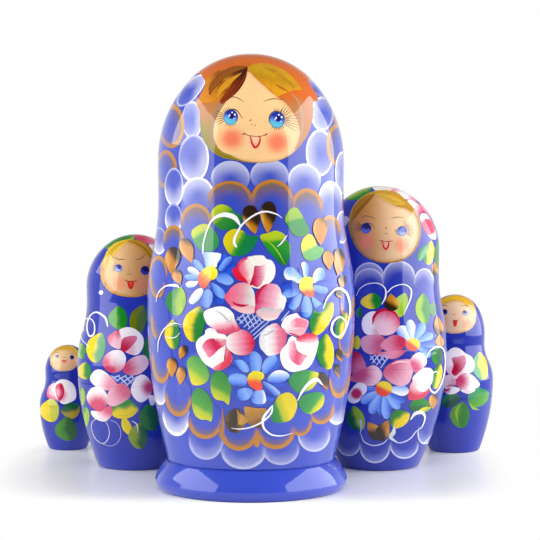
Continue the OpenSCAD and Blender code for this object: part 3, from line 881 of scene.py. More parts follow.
def paint_outer_face():
    d = dolls["outer"]
    pen = Pen(d, "face", *OUTER_HEAD)
    hair = [(325, 445), (345, 395), (376, 340), (386, 290), (356, 226), (402, 172), (466, 122), (522, 88),
            (606, 66), (700, 56), (766, 56), (862, 72), (948, 106), (1042, 150), (1128, 214), (1112, 290),
            (1138, 340), (1168, 388), (1172, 425), (1142, 440), (1142, 505), (1134, 570), (1108, 655),
            (1060, 728), (1000, 792), (920, 838), (830, 856), (720, 860), (610, 844), (520, 806),
            (450, 788), (392, 722), (360, 650), (350, 560), (345, 490)]
    crown_hair(pen)
    head_hair(pen, hair, (735, 470))
    # Left side hair: gold, then brown strokes from the parting
    wash(pen, [(328, 440), (352, 392), (384, 330), (400, 268), (470, 220), (560, 196), (650, 186),
               (682, 206), (662, 272), (604, 342), (548, 412), (480, 430), (400, 440)], (360, 360),
         (680, 240), {0: "d88a22", 0.25: "c47a18", 0.45: "8e4a10", 0.6: "b87a1e", 0.8: "6a2c08",
                      1: "3a1204"}, 3, 0.05)
    wash(pen, [(684, 206), (720, 172), (800, 164), (882, 184), (962, 230), (1024, 292), (1062, 345),
               (1010, 352), (960, 366), (922, 384), (880, 394), (848, 354), (796, 312), (738, 258)],
         (860, 170), (820, 340), {0: "c88a12", 0.35: "c8980e", 0.6: "b8860e", 0.85: "d89412", 1: "dc9a1c"},
         5, 0.06)
    pen.stroke([(800, 190), (900, 240), (1010, 332)], [6, 34, 10], "b07c10", n=30)
    pen.stroke([(876, 312), (920, 336), (966, 360)], [4, 14, 4], "a06018", n=16, across=3)
    flesh = [(685, 222), (740, 268), (800, 322), (880, 392), (945, 440), (1005, 515), (1038, 585),
             (1050, 655), (1040, 722), (1000, 788), (930, 830), (850, 850), (740, 854), (640, 840),
             (560, 806), (492, 762), (446, 702), (432, 632), (440, 560), (470, 492), (512, 432), (560, 396),
             (604, 346), (652, 284)]
    head_flesh(pen, flesh, (740, 590))
    # Brown strands down the side of the face
    pen.stroke([(514, 424), (462, 512), (436, 600), (440, 690), (478, 762)], [40, 34, 24, 16, 6], "a8805c",
               n=50, across=6)
    pen.stroke([(672, 196), (642, 262), (588, 342), (506, 432)], [22, 60, 66, 34], strands, n=50, across=8)
    pen.stroke([(662, 192), (586, 208), (504, 254), (440, 324), (420, 380)], [18, 42, 48, 44, 14],
               streaks("7a3606", "b06a14", 8, 5, (-0.3, 0.9)), n=50, across=8)
    pen.stroke([(640, 232), (566, 284), (504, 342), (474, 396)], [4, 30, 34, 10],
               streaks("dc9c1c", "b87414", 9, 4, (0.1, 0.9)), n=40, across=6)
    pen.stroke([(990, 372), (1046, 450), (1066, 560), (1056, 670), (1014, 766)], [5, 18, 24, 18, 5],
               "b88a60", n=50, across=6)
    pen.stroke([(355, 560), (374, 660), (430, 752), (520, 806), (615, 836)], [10, 30, 38, 40, 10],
               streaks("9a8a1e", "7c6a10", 12, 7, (-0.3, 0.8)), n=50, across=6)
    blush(pen, (574, 692), 116, 0.95)
    blush(pen, (890, 716), 116, 0.95)
    # Brows, eyes and lashes
    pen.stroke([(545, 403), (600, 402), (656, 431)], [3, 6, 2], INK, n=20, across=2)
    pen.stroke([(795, 431), (860, 413), (936, 420)], [3, 6, 2], INK, n=20, across=2)
    eye(pen, (565, 541), 52)
    eye(pen, (890, 560), 55)
    pen.stroke([(522, 512), (566, 486), (612, 498), (648, 552)], [3, 7, 7, 3], "4a3c40", n=24, across=2)
    pen.stroke([(832, 582), (838, 530), (868, 502), (906, 502)], [3, 7, 7, 3], "2c2c50", n=24, across=2)
    fan(pen, (565, 541), range(150, 216, 11), 56, 112, 4.5)
    fan(pen, (565, 541), range(222, 262, 12), 56, 74, 4)
    fan(pen, (565, 541), range(60, 122, 15), 56, 70, 4)
    fan(pen, (890, 560), range(-104, -66, 12), 58, 82, 4.5)
    fan(pen, (890, 560), range(-64, -20, 11), 58, 118, 4.5)
    fan(pen, (890, 560), range(-14, 38, 9), 60, 162, 4.5)
    fan(pen, (890, 560), range(48, 125, 15), 58, 74, 5)
    for c in [(707, 560), (700, 566), (713, 592), (738, 598)]:
        pen.dot(c, 4, INK)
    # Mouth
    pen.stroke([(706, 676), (716, 718), (736, 740), (756, 722), (766, 674)], [30, 40, 36, 36, 26], "f4c3a0",
               n=24, across=4)
    pen.stroke([(702, 676), (714, 722), (736, 752), (758, 734), (770, 700), (766, 672)],
               [8, 14, 17, 15, 12, 7], "dc2420", n=36, across=3)
    pen.stroke([(640, 664), (662, 656), (695, 670), (760, 676), (800, 668), (822, 660)], [4, 6, 5, 5, 6, 4],
               "8a3a2a", n=36, across=2)
    pen.dot((659, 657), 7, "b03a2a")
    pen.dot((812, 661), 7, "b03a2a")


def paint_outer_edging():
    """The scalloped edge of the apron, white below and gold over it."""
    d = dolls["outer"]
    side = Pen(d, "apron_edge", *OUTER_SIDES)
    for c, rx, ry, way in [
            ((48, 180), 46, 116, 120), ((62, 420), 54, 136, 120), ((1188, 300), 44, 136, 60),
            ((1180, 520), 48, 136, 60)]:
        side.oval(c, rx, ry, 0, hem_gold(way))
    pen = Pen(d, "apron_edge", *OUTER_SKIRT)
    for c, rx, ry, turn, way, strength in [
            ((70, 235), 66, 150, -4, 95, 0.9), ((186, 452), 96, 150, -4, 90, 1.0),
            ((395, 632), 122, 136, 0, 90, 0.42), ((1312, 392), 78, 132, 8, 85, 0.9),
            ((1146, 592), 114, 120, 4, 88, 0.55), ((915, 690), 130, 114, 0, 90, 0.42),
            ((655, 710), 156, 124, 0, 90, 0.5)]:
        pen.oval(c, rx, ry, turn, hem_white(way, strength))
    for c, rx, ry, turn, way in [
            ((85, 60), 70, 174, 0, 110), ((200, 322), 94, 144, -4, 100), ((1328, 182), 76, 156, 6, 75),
            ((1196, 402), 94, 118, 6, 80), ((1050, 502), 84, 98, 0, 85), ((390, 492), 122, 130, 0, 92),
            ((880, 562), 134, 132, 0, 88), ((625, 562), 136, 142, 0, 90)]:
        pen.oval(c, rx, ry, turn, hem_gold(way))
    pen.stroke([(500, 600), (512, 520), (506, 410)], [34, 20, 4], mix(GREY_GOLD, GOLD, 0.8), n=24)
    pen.stroke([(748, 660), (752, 610), (745, 560)], [40, 26, 6], GOLD, n=20)


def paint_outer_leaves():
    d = dolls["outer"]
    pen = Pen(d, "leaves", *OUTER_CHEST)
    for i, (pts, a, b, tones) in enumerate([
            ([(428, 385), (450, 335), (500, 310), (560, 330), (600, 370), (642, 395), (632, 450),
              (580, 486), (510, 490), (460, 460)], (460, 330), (590, 470),
             {0: "c6cf1c", 0.35: "8fb41c", 0.5: "2f8a2a", 1: "0c7434"}),
            ([(290, 515), (330, 465), (390, 447), (440, 480), (476, 530), (484, 590), (450, 632),
              (390, 642), (335, 610)], (340, 460), (430, 600),
             {0: "d2d21e", 0.26: "b4c82c", 0.4: "3c9a4c", 1: "2a8c4e"}),
            ([(515, 580), (530, 520), (580, 485), (640, 490), (690, 530), (756, 535), (735, 600),
              (690, 650), (630, 672), (560, 660)], (545, 540), (690, 620),
             {0: "e0c810", 0.4: "b9bd18", 0.52: "3f9a2c", 0.7: "0f7c36", 1: "0c7a48"}),
            ([(770, 532), (830, 510), (880, 495), (940, 520), (954, 560), (982, 600), (978, 680),
              (945, 738), (900, 715), (850, 660), (806, 606)], (880, 500), (890, 700),
             {0: "b9c81a", 0.26: "a4c01c", 0.36: "2f9224", 0.7: "128a2a", 1: "0d7430"}),
            ([(945, 410), (980, 345), (1025, 335), (1060, 380), (1090, 440), (1113, 500), (1060, 536),
              (1010, 526), (968, 470)], (1000, 340), (1050, 520),
             {0: "9fc42a", 0.38: "8fbc38", 0.46: "2f9644", 1: "278e48"}),
            ([(1055, 610), (1070, 550), (1115, 518), (1150, 550), (1170, 600), (1216, 625), (1185, 682),
              (1120, 706), (1075, 682)], (1080, 550), (1150, 690),
             {0: "dbd82a", 0.45: "cfd22a", 0.56: "5fae50", 1: "4aa552"})]):
        wash(pen, pts, a, b, tones, 60 + i, 0.014)
    pen.stroke([(780, 540), (850, 590), (905, 660), (940, 728)], [3, 8, 8, 2], LIME, n=30, across=3)
    pen = Pen(d, "leaves", *OUTER_SKIRT)
    for i, (pts, a, b, tones) in enumerate([
            ([(262, 75), (300, 40), (350, 55), (395, 110), (418, 170), (400, 220), (350, 246), (300, 240),
              (280, 190), (268, 130)], (385, 100), (290, 220),
             halves("2f9434", "6fae2c", "b5c41c", "e6d414")),
            ([(425, 215), (440, 165), (485, 145), (540, 180), (570, 250), (562, 320), (551, 382),
              (515, 356), (460, 342), (430, 290)], (520, 190), (440, 340),
             halves("1f8830", "4a9a2c", "a9c21e", "d9d01c")),
            ([(292, 340), (310, 285), (345, 265), (400, 300), (438, 370), (434, 492), (400, 488),
              (350, 482), (310, 440)], (390, 320), (310, 460),
             halves("1f8a30", "4a9a2c", "a9c21e", "d9d01c")),
            ([(838, 430), (870, 370), (900, 320), (960, 295), (1005, 320), (1030, 370), (1015, 440),
              (980, 490), (920, 507), (860, 500)], (850, 440), (960, 400),
             {0: "14843a", 0.4: "2a9240", 0.52: "a9b91a", 0.75: "c9c016", 1: "e2cc12"}),
            ([(968, 215), (1000, 165), (1060, 145), (1130, 145), (1187, 170), (1170, 220), (1130, 270),
              (1080, 292), (1030, 296), (990, 260)], (1040, 220), (1150, 250),
             halves("16883e", "2f9a3a", "a9c21e", "e2d41c")),
            ([(1038, 370), (1065, 320), (1120, 300), (1190, 295), (1218, 330), (1205, 390), (1160, 430),
              (1105, 446), (1060, 420)], (1110, 350), (1190, 410),
             halves("16883e", "2f9a3c", "b9c61a", "e4d814"))]):
        wash(pen, pts, a, b, tones, 70 + i, 0.018)
    pen = Pen(d, "leaves", *OUTER_SIDES)
    for tip, base, w, up, low in [
            ((186, 222), (158, 396), 118, GREEN, LIME), ((305, 340), (258, 556), 128, YELLOW, GREEN),
            ((142, 418), (150, 600), 88, YELLOW, GREEN), ((1098, 315), (985, 512), 118, GREEN, YELLOW),
            ((1060, 505), (1072, 722), 104, GREEN, YELLOW), ((1182, 378), (1136, 540), 70, GREEN, YELLOW)]:
        leaf(pen, tip, base, w, up, low, seed=int(tip[0]))


def paint_outer_roses():
    d = dolls["outer"]
    pen = Pen(d, "flowers", *OUTER_BOUQUET)
    lattice(pen, [((445, 722), (530, 655)), ((478, 757), (590, 650)), ((520, 790), (650, 668)),
                  ((560, 812), (700, 690)), ((585, 842), (735, 715)), ((610, 872), (770, 730)),
                  ((455, 690), (505, 752)), ((505, 662), (575, 792)), ((552, 658), (620, 790)),
                  ((600, 655), (655, 760)), ((650, 668), (695, 745)), ((572, 955), (760, 775)),
                  ((890, 725), (968, 632))], 13)
    # Top flower
    wash(pen, [(545, 108), (600, 82), (660, 74), (715, 79), (745, 112), (792, 125), (826, 175), (832, 240),
               (815, 302), (776, 350), (722, 368), (680, 402), (640, 404), (590, 385), (565, 370),
               (560, 250)], (560, 250), (830, 240), {0: "f3e6dc", 0.4: "f6ece2", 1: "fdfaf6"}, 1)
    wash(pen, [(403, 215), (438, 196), (465, 150), (500, 114), (548, 98), (572, 130), (520, 170),
               (500, 240), (540, 300), (566, 342), (556, 350), (500, 332), (460, 320), (424, 276)],
         (420, 290), (540, 110), {0: "e00f2e", 0.5: "e2203f", 0.75: "e85a70", 1: "e0304c"}, 2)
    wash(pen, [(470, 190), (505, 148), (552, 112), (604, 100), (628, 140), (626, 205), (604, 275),
               (582, 342), (565, 362), (540, 312), (500, 270), (474, 232)], (478, 230), (622, 200),
         {0: "ea5a7a", 0.35: "ee8c9e", 0.62: "f4d8d2", 1: "f8efe8"}, 3)
    wash(pen, [(628, 180), (680, 180), (738, 166), (738, 232), (722, 302), (692, 360), (652, 392),
               (600, 372), (572, 378), (588, 332), (610, 270), (618, 222)], (606, 270), (738, 262),
         {0: "c4143e", 0.22: "d23a62", 0.6: "e084a6", 0.85: "efc0cc", 1: "f6ece6"}, 4)
    wash(pen, [(325, 482), (360, 440), (400, 390), (450, 356), (510, 345), (560, 360), (600, 400),
               (623, 450), (629, 520), (631, 585), (626, 642), (560, 656), (480, 642), (410, 602),
               (370, 560), (340, 522)], (340, 480), (625, 520),
         {0: "ee5c7c", 0.35: "ea7c98", 0.6: "e6a0ae", 0.8: "dcd2ce", 1: "f0e6e2"}, 5)
    wash(pen, [(390, 592), (430, 578), (500, 582), (570, 574), (628, 590), (626, 642), (560, 656),
               (480, 642), (425, 612)], (500, 570), (510, 650), {0: "f0a6ae", 1: "f6d2ce"}, 6)
    pen.stroke([(402, 536), (440, 562), (500, 576), (568, 568)], [4, 22, 26, 4], "c01040", n=30)
    wash(pen, [(626, 642), (632, 560), (632, 482), (660, 432), (700, 390), (746, 361), (800, 357),
               (852, 370), (882, 412), (896, 462), (940, 502), (931, 560), (914, 612), (880, 652),
               (850, 702), (800, 722), (750, 726), (700, 706), (660, 672)], (640, 470), (925, 530),
         {0: "c81a4c", 0.14: "da4a78", 0.4: "ea93af", 0.65: "eeb6c6", 0.85: "f6ece8", 1: "fdfbf8"}, 7)
    wash(pen, [(640, 640), (700, 600), (780, 596), (900, 606), (880, 652), (850, 702), (800, 722),
               (750, 726), (700, 706)], (780, 600), (780, 720),
         {0: "b9c2c6", 0.3: "e2c8cc", 0.7: "f2c9cc", 1: "f9ecea"}, 8)
    pen.stroke([(640, 560), (652, 470), (700, 398), (752, 362)], [6, 30, 26, 6], "c41248", n=30)
    # Left flower
    wash(pen, [(118, 662), (150, 620), (200, 600), (270, 584), (332, 590), (382, 620), (418, 662),
               (432, 722), (474, 790), (482, 832), (420, 852), (330, 864), (258, 842), (208, 802),
               (150, 752)], (270, 590), (330, 860), {0: "ffffff", 0.5: "f6f2f0", 0.68: "f0b4c0",
            0.85: "e6607e", 1: "dc4c70"}, 9, 0.05)
    pen.stroke([(232, 618), (300, 660), (360, 722), (430, 772)], [3, 18, 20, 4], "c9c6cc", n=30)
    wash(pen, [(44, 952), (75, 900), (130, 862), (140, 820), (180, 800), (232, 816), (262, 850), (340, 870),
               (348, 930), (338, 990), (352, 1022), (396, 1060), (402, 1122), (370, 1172), (310, 1212),
               (250, 1222), (190, 1192), (130, 1152), (80, 1082), (50, 1012)], (60, 960), (380, 1120),
         {0: "ffffff", 0.6: "faf4f2", 1: "f2dcdc"}, 10)
    wash(pen, [(106, 982), (150, 918), (222, 903), (342, 912), (338, 968), (272, 1012), (212, 1072),
               (172, 1094), (142, 1052)], (120, 1010), (290, 930),
         {0: "ec8aa2", 0.35: "e0527a", 0.6: "cc2250", 0.85: "d8305c", 1: "e88aa0"}, 11)
    wash(pen, [(336, 996), (386, 1036), (402, 1110), (368, 1178), (300, 1214), (236, 1222), (222, 1192),
               (280, 1152), (322, 1122), (338, 1060)], (300, 1120), (390, 1180),
         {0: "e87a8c", 0.3: "dc2a50", 1: "d8143e"}, 12)
    wash(pen, [(345, 932), (360, 880), (410, 850), (470, 830), (492, 814), (552, 830), (602, 880),
               (627, 940), (611, 1012), (570, 1062), (500, 1072), (440, 1062), (390, 1032), (350, 992)],
         (360, 950), (620, 930), {0: "f8eeec", 0.28: "f2c2c8", 0.55: "ea8aa6", 0.78: "e2506e", 1: "d4143c"},
         13)
    # Right flower
    wash(pen, [(670, 922), (690, 850), (740, 800), (800, 758), (852, 756), (892, 800), (942, 800),
               (947, 880), (932, 960), (900, 1032), (850, 1062), (760, 1076), (720, 1042), (680, 992)],
         (690, 930), (945, 920), {0: "e6e6ea", 0.25: "fbfafa", 0.5: "f2d2d8", 0.68: "ea86a0", 1: "e05a80"},
         14)
    pen.stroke([(700, 880), (770, 850), (840, 800)], [3, 20, 4], "c4c8cc", n=24)
    wash(pen, [(888, 782), (910, 720), (950, 680), (1000, 660), (1046, 649), (1080, 690), (1152, 720),
               (1162, 752), (1140, 812), (1110, 862), (1060, 882), (1000, 872), (950, 852), (910, 802)],
         (930, 700), (1100, 860), {0: "ffffff", 0.4: "f8e6e8", 0.75: "f0b0c0", 1: "eab0c0"}, 15)
    wash(pen, [(982, 734), (1040, 700), (1100, 708), (1154, 740), (1132, 802), (1080, 790), (1000, 792)],
         (1000, 760), (1140, 760), {0: "f4c4d0", 0.3: "ea7a98", 1: "ee8aa4"}, 16)
    pen.stroke([(962, 846), (1010, 862), (1086, 886)], [4, 14, 4], "c01c48", n=20)
    wash(pen, [(878, 1082), (890, 1020), (940, 960), (968, 900), (1004, 880), (1052, 900), (1110, 860),
               (1162, 850), (1222, 870), (1260, 920), (1252, 982), (1231, 1062), (1200, 1142), (1150, 1202),
               (1080, 1224), (1000, 1237), (938, 1212), (898, 1162)], (900, 1100), (1230, 1000),
         {0: "ffffff", 1: "fffdfc"}, 17)
    wash(pen, [(972, 938), (1020, 926), (1042, 1002), (1072, 1042), (1148, 1072), (1122, 1112),
               (1080, 1172), (1020, 1152), (968, 1092), (962, 1010)], (965, 1040), (1110, 1080),
         {0: "f6ccd6", 0.25: "ee8aa8", 0.55: "de3c6a", 0.8: "e05a80", 1: "ee94a8"}, 18)
    wash(pen, [(1040, 906), (1110, 860), (1182, 850), (1246, 878), (1260, 932), (1246, 990), (1200, 968),
               (1130, 950), (1062, 936)], (1160, 855), (1180, 975),
         {0: "dc2448", 0.35: "e65a76", 0.75: "f6ccd2", 1: "fffafa"}, 19)


def paint_outer_daisies():
    d = dolls["outer"]
    pen = Pen(d, "flowers", *OUTER_BOUQUET)
    for i, (pts, a, b, tones) in enumerate([
            ([(110, 50), (200, 45), (292, 60), (292, 120), (240, 195), (150, 195), (128, 120)], (120, 120),
             (290, 110), BRIGHT),
            ([(300, 60), (350, 80), (300, 160), (262, 205), (252, 160), (285, 110)], (260, 130), (330, 130),
             DARK),
            ([(265, 215), (300, 150), (340, 100), (396, 88), (402, 132), (362, 192), (310, 232)],
             (300, 130), (370, 190), {0: "86aef4", 0.4: "6a98ee", 0.8: "2a52cc", 1: "1a3cb4"}),
            ([(330, 210), (400, 150), (430, 190), (390, 260), (320, 250)], (340, 190), (400, 250), DARK),
            ([(252, 270), (330, 244), (392, 290), (417, 336), (370, 372), (300, 352), (248, 322)],
             (320, 250), (330, 360), SOFT),
            ([(240, 380), (330, 400), (338, 470), (320, 550), (250, 560), (205, 510)], (240, 450),
             (330, 480), DARK),
            ([(190, 350), (250, 370), (320, 430), (326, 500), (270, 492), (210, 432)], (210, 430),
             (290, 400), LIGHT),
            ([(138, 420), (200, 440), (207, 520), (170, 592), (108, 582), (88, 532)], (100, 520),
             (200, 510), SOFT),
            ([(106, 404), (112, 450), (70, 520), (10, 562), (-30, 530), (15, 450), (60, 410)], (100, 510),
             (20, 440), BRIGHT),
            ([(60, 330), (40, 380), (-30, 400), (-60, 360), (-20, 330)], (0, 400), (0, 330), BRIGHT),
            ([(62, 280), (50, 330), (-40, 320), (-70, 280), (-20, 260)], (0, 330), (0, 260), LIGHT),
            ([(75, 240), (60, 280), (-20, 250), (-40, 200), (10, 190)], (0, 260), (30, 200), BRIGHT),
            ([(120, 200), (85, 230), (20, 180), (10, 120), (70, 130)], (20, 190), (90, 150), LIGHT)]):
        wash(pen, pts, a, b, tones, 80 + i)
    wash(pen, [(58, 292), (98, 230), (160, 184), (222, 184), (259, 240), (240, 302), (182, 332), (162, 372),
               (120, 407), (78, 372)], (90, 370), (225, 215),
         {0: "dc3a1c", 0.25: "ea6a2c", 0.48: "eca030", 0.6: "f2e01c", 1: "f4ee3c"}, 96)
    for i, (pts, a, b, tones) in enumerate([
            ([(1060, 385), (1000, 400), (930, 422), (888, 400), (898, 350), (960, 338), (1030, 360)],
             (960, 340), (970, 420), DARK),
            ([(1065, 408), (1062, 456), (990, 492), (930, 492), (903, 456), (960, 410)], (990, 410),
             (970, 490), SOFT),
            ([(1095, 330), (1060, 352), (1000, 322), (940, 312), (914, 250), (940, 198), (1002, 194),
              (1052, 240), (1092, 290)], (1020, 210), (960, 320),
             {0: "6a98ee", 0.5: "9cc0f8", 0.8: "e6effd", 1: "ffffff"}),
            ([(1115, 287), (1103, 220), (1088, 160), (1125, 138), (1162, 180), (1163, 240), (1142, 292)],
             (1160, 220), (1098, 220), {0: "5a8aea", 0.5: "9cc0f8", 1: "ffffff"}),
            ([(1060, 190), (1090, 230), (1100, 280), (1075, 270)], (1060, 230), (1100, 240), DARK),
            ([(1200, 320), (1215, 250), (1260, 198), (1312, 214), (1327, 280), (1282, 332), (1220, 352)],
             (1310, 280), (1220, 260), {0: "5a8aea", 0.5: "9cc0f8", 0.85: "fafcff", 1: "ffffff"}),
            ([(1225, 350), (1290, 320), (1370, 330), (1350, 380), (1270, 380)], (1290, 330), (1300, 380),
             DARK),
            ([(1215, 372), (1290, 384), (1348, 400), (1342, 452), (1280, 462), (1225, 432)], (1280, 460),
             (1290, 385), SOFT),
            ([(1195, 488), (1250, 518), (1303, 570), (1293, 622), (1230, 612), (1203, 552)], (1210, 600),
             (1280, 540), LIGHT),
            ([(1290, 560), (1315, 600), (1280, 640), (1230, 620)], (1240, 630), (1310, 600), DARK),
            ([(1060, 600), (1100, 670), (1190, 660), (1180, 700), (1120, 700), (1060, 660)], (1080, 640),
             (1160, 700), DARK),
            ([(1120, 478), (1170, 500), (1196, 570), (1191, 652), (1150, 692), (1098, 672), (1083, 600),
              (1100, 530)], (1090, 600), (1195, 590), LIGHT),
            ([(950, 540), (985, 570), (1010, 620), (960, 610), (935, 570)], (940, 560), (1000, 620), DARK),
            ([(1086, 454), (1087, 520), (1050, 592), (1000, 617), (963, 580), (1000, 510)], (990, 520),
             (1070, 570), SOFT)]):
        wash(pen, pts, a, b, tones, 100 + i)
    wash(pen, [(1073, 350), (1100, 298), (1160, 288), (1207, 308), (1203, 380), (1223, 430), (1192, 492),
               (1120, 466), (1073, 410)], (1140, 300), (1165, 490),
         {0: "f4ec2a", 0.5: "eede14", 0.64: "eca43c", 0.75: "e0491c", 1: "e86a24"}, 97)
    pen = Pen(d, "flowers", *OUTER_SKIRT)
    for i, (pts, a, b, tones) in enumerate([
            ([(545, 132), (590, 108), (632, 150), (600, 172), (548, 182)], (570, 110), (590, 180), DARK),
            ([(628, 48), (682, 38), (694, 82), (652, 74)], (640, 50), (690, 70), DARK),
            ([(788, 100), (850, 38), (902, 38), (907, 100), (860, 152), (798, 172)], (820, 80), (900, 110),
             DARK),
            ([(838, 220), (920, 224), (968, 204), (932, 248), (868, 248)], (900, 220), (900, 250), DARK),
            ([(800, 308), (850, 318), (884, 330), (850, 357), (808, 347)], (840, 315), (840, 350), DARK),
            ([(590, 270), (625, 275), (615, 340), (596, 310)], (590, 300), (625, 300), DARK),
            ([(700, 340), (740, 376), (806, 372), (780, 392), (715, 385)], (740, 370), (750, 390), DARK),
            ([(700, 150), (690, 90), (695, 30), (730, 8), (772, 38), (782, 90), (765, 148)], (692, 90),
             (780, 80), LIGHT),
            ([(785, 150), (790, 92), (830, 42), (870, 30), (890, 70), (860, 120), (810, 166)], (860, 130),
             (800, 70), LIGHT),
            ([(822, 196), (860, 154), (910, 140), (962, 160), (972, 190), (920, 226), (860, 227),
              (824, 216)], (890, 228), (890, 145), {0: "3a66da", 0.4: "7fa6f2", 0.7: "c4d6fb",
                    1: "ffffff"}),
            ([(790, 218), (840, 238), (892, 270), (912, 302), (880, 322), (838, 292), (798, 250)],
             (830, 290), (870, 250), {0: "1a40bc", 0.5: "6a94ee", 0.8: "a4c2f8", 1: "3a66da"}),
            ([(740, 284), (792, 280), (812, 340), (801, 372), (750, 377), (708, 360), (714, 310)],
             (712, 330), (810, 330), {0: "3a66da", 0.3: "7fa6f2", 0.75: "8fb2f6", 0.9: "f4f7ff",
                    1: "dfe8fd"}),
            ([(700, 270), (721, 292), (690, 342), (640, 352), (608, 330), (620, 280), (660, 264)],
             (612, 330), (700, 290), LIGHT),
            ([(675, 184), (671, 240), (620, 256), (570, 241), (548, 200), (580, 168), (630, 164)],
             (600, 250), (610, 165), LIGHT),
            ([(692, 150), (650, 150), (610, 112), (588, 74), (640, 68), (682, 100)], (610, 120), (670, 90),
             LIGHT)]):
        wash(pen, pts, a, b, tones, 120 + i)
    wash(pen, [(679, 200), (700, 160), (740, 144), (791, 160), (797, 195), (776, 215), (786, 260),
               (760, 285), (720, 266), (690, 236)], (750, 150), (735, 275),
         {0: "eee014", 0.35: "e8d414", 0.5: "ec8a20", 0.62: "ee4a1e", 1: "f04a2a"}, 98)


def paint_outer_details():
    d = dolls["outer"]
    pen = Pen(d, "buds", *OUTER_SIDES)
    for tip, base, w, dark in [
            ((148, 126), (122, 12), 76, 0.35), ((186, 205), (152, 120), 60, 0.15),
            ((1128, 150), (1142, 18), 60, 0.2), ((1150, 228), (1160, 152), 50, 0.5),
            ((1150, 292), (1130, 240), 46, 0.75), ((185, 655), (215, 575), 50, 0.35),
            ((138, 762), (135, 650), 62, 0.1), ((186, 812), (196, 702), 56, 0.15),
            ((1150, 675), (1130, 598), 44, 0.7), ((1132, 768), (1122, 686), 40, 0.8),
            ((1062, 842), (1030, 738), 56, 0.8)]:
        bud(pen, tip, base, w, dark, seed=int(w))
    pen = Pen(d, "buds", *OUTER_SKIRT)
    wash(pen, [(662, 394), (740, 404), (812, 410), (803, 470), (782, 542), (720, 532), (680, 502),
               (664, 440)], (700, 400), (770, 540), {0: "c48a34", 0.5: "a8742c", 0.8: "7a5424",
            1: "4a3418"}, 31, 0.08)
    wash(pen, [(528, 470), (560, 430), (610, 408), (660, 450), (682, 490), (650, 542), (620, 577),
               (558, 566), (534, 520)], (530, 480), (680, 500),
         {0: "6a4c28", 0.25: "3a2a18", 0.5: "2a1e12", 0.7: "6a4c28", 1: "8a642c"}, 32, 0.08)
    wash(pen, [(608, 408), (626, 438), (672, 470), (683, 502), (640, 522), (618, 510), (612, 450)],
         (615, 470), (680, 490), {0: "a8762c", 0.4: "d09a3c", 1: "b07c2c"}, 33, 0.08)
    pen = Pen(d, "buds", *OUTER_CHEST)
    for tip, base, w, dark in [
            ((735, 514), (690, 320), 118, 0.66), ((822, 508), (832, 290), 110, 0.6),
            ((1190, 596), (1185, 405), 100, 0.0), ((1250, 766), (1240, 636), 78, 0.0),
            ((1340, 780), (1310, 620), 70, 0.3), ((150, 790), (175, 610), 104, 0.4),
            ((296, 718), (236, 552), 92, 0.12)]:
        bud(pen, tip, base, w, dark, seed=int(w))
    pen = Pen(d, "curls", *OUTER_CHEST)
    curl(pen, [(372, 655), (382, 560), (430, 432), (508, 384), (590, 402), (637, 466)],
         [9, 10, 13, 30, 34, 6])
    curl(pen, [(604, 607), (590, 562), (640, 460), (720, 392), (800, 361), (880, 378), (922, 406)],
         [14, 18, 13, 12, 12, 9, 3])
    curl(pen, [(890, 607), (920, 580), (956, 530)], [3, 9, 6])
    pen = Pen(d, "curls", *OUTER_SIDES)
    curl(pen, [(1040, 352), (1068, 285), (1125, 232), (1178, 258), (1200, 330), (1196, 400), (1175, 475),
               (1130, 524), (1092, 490), (1100, 432), (1140, 404), (1172, 428), (1174, 470)],
         [6, 10, 14, 15, 12, 10, 9, 12, 13, 12, 11, 9, 4])
    curl(pen, [(42, 312), (56, 258), (100, 218), (160, 214), (180, 226)], [3, 6, 9, 16, 6])
    curl(pen, [(52, 615), (58, 545), (92, 475), (150, 442), (192, 450)], [3, 6, 7, 6, 2])
    curl(pen, [(185, 500), (150, 528), (95, 522)], [2, 5, 2])
    pen = Pen(d, "curls", *OUTER_SKIRT)
    curl(pen, [(1030, 352), (1060, 292), (1110, 232), (1162, 206), (1202, 242)], [6, 16, 24, 26, 6])
    curl(pen, [(856, 386), (830, 420), (800, 460), (788, 502), (800, 550), (850, 590), (920, 598),
               (996, 580)], [6, 16, 18, 17, 14, 11, 8, 3])
    curl(pen, [(856, 386), (850, 432), (820, 472), (770, 510), (700, 540), (630, 551), (572, 545)],
         [6, 12, 12, 11, 10, 8, 3])


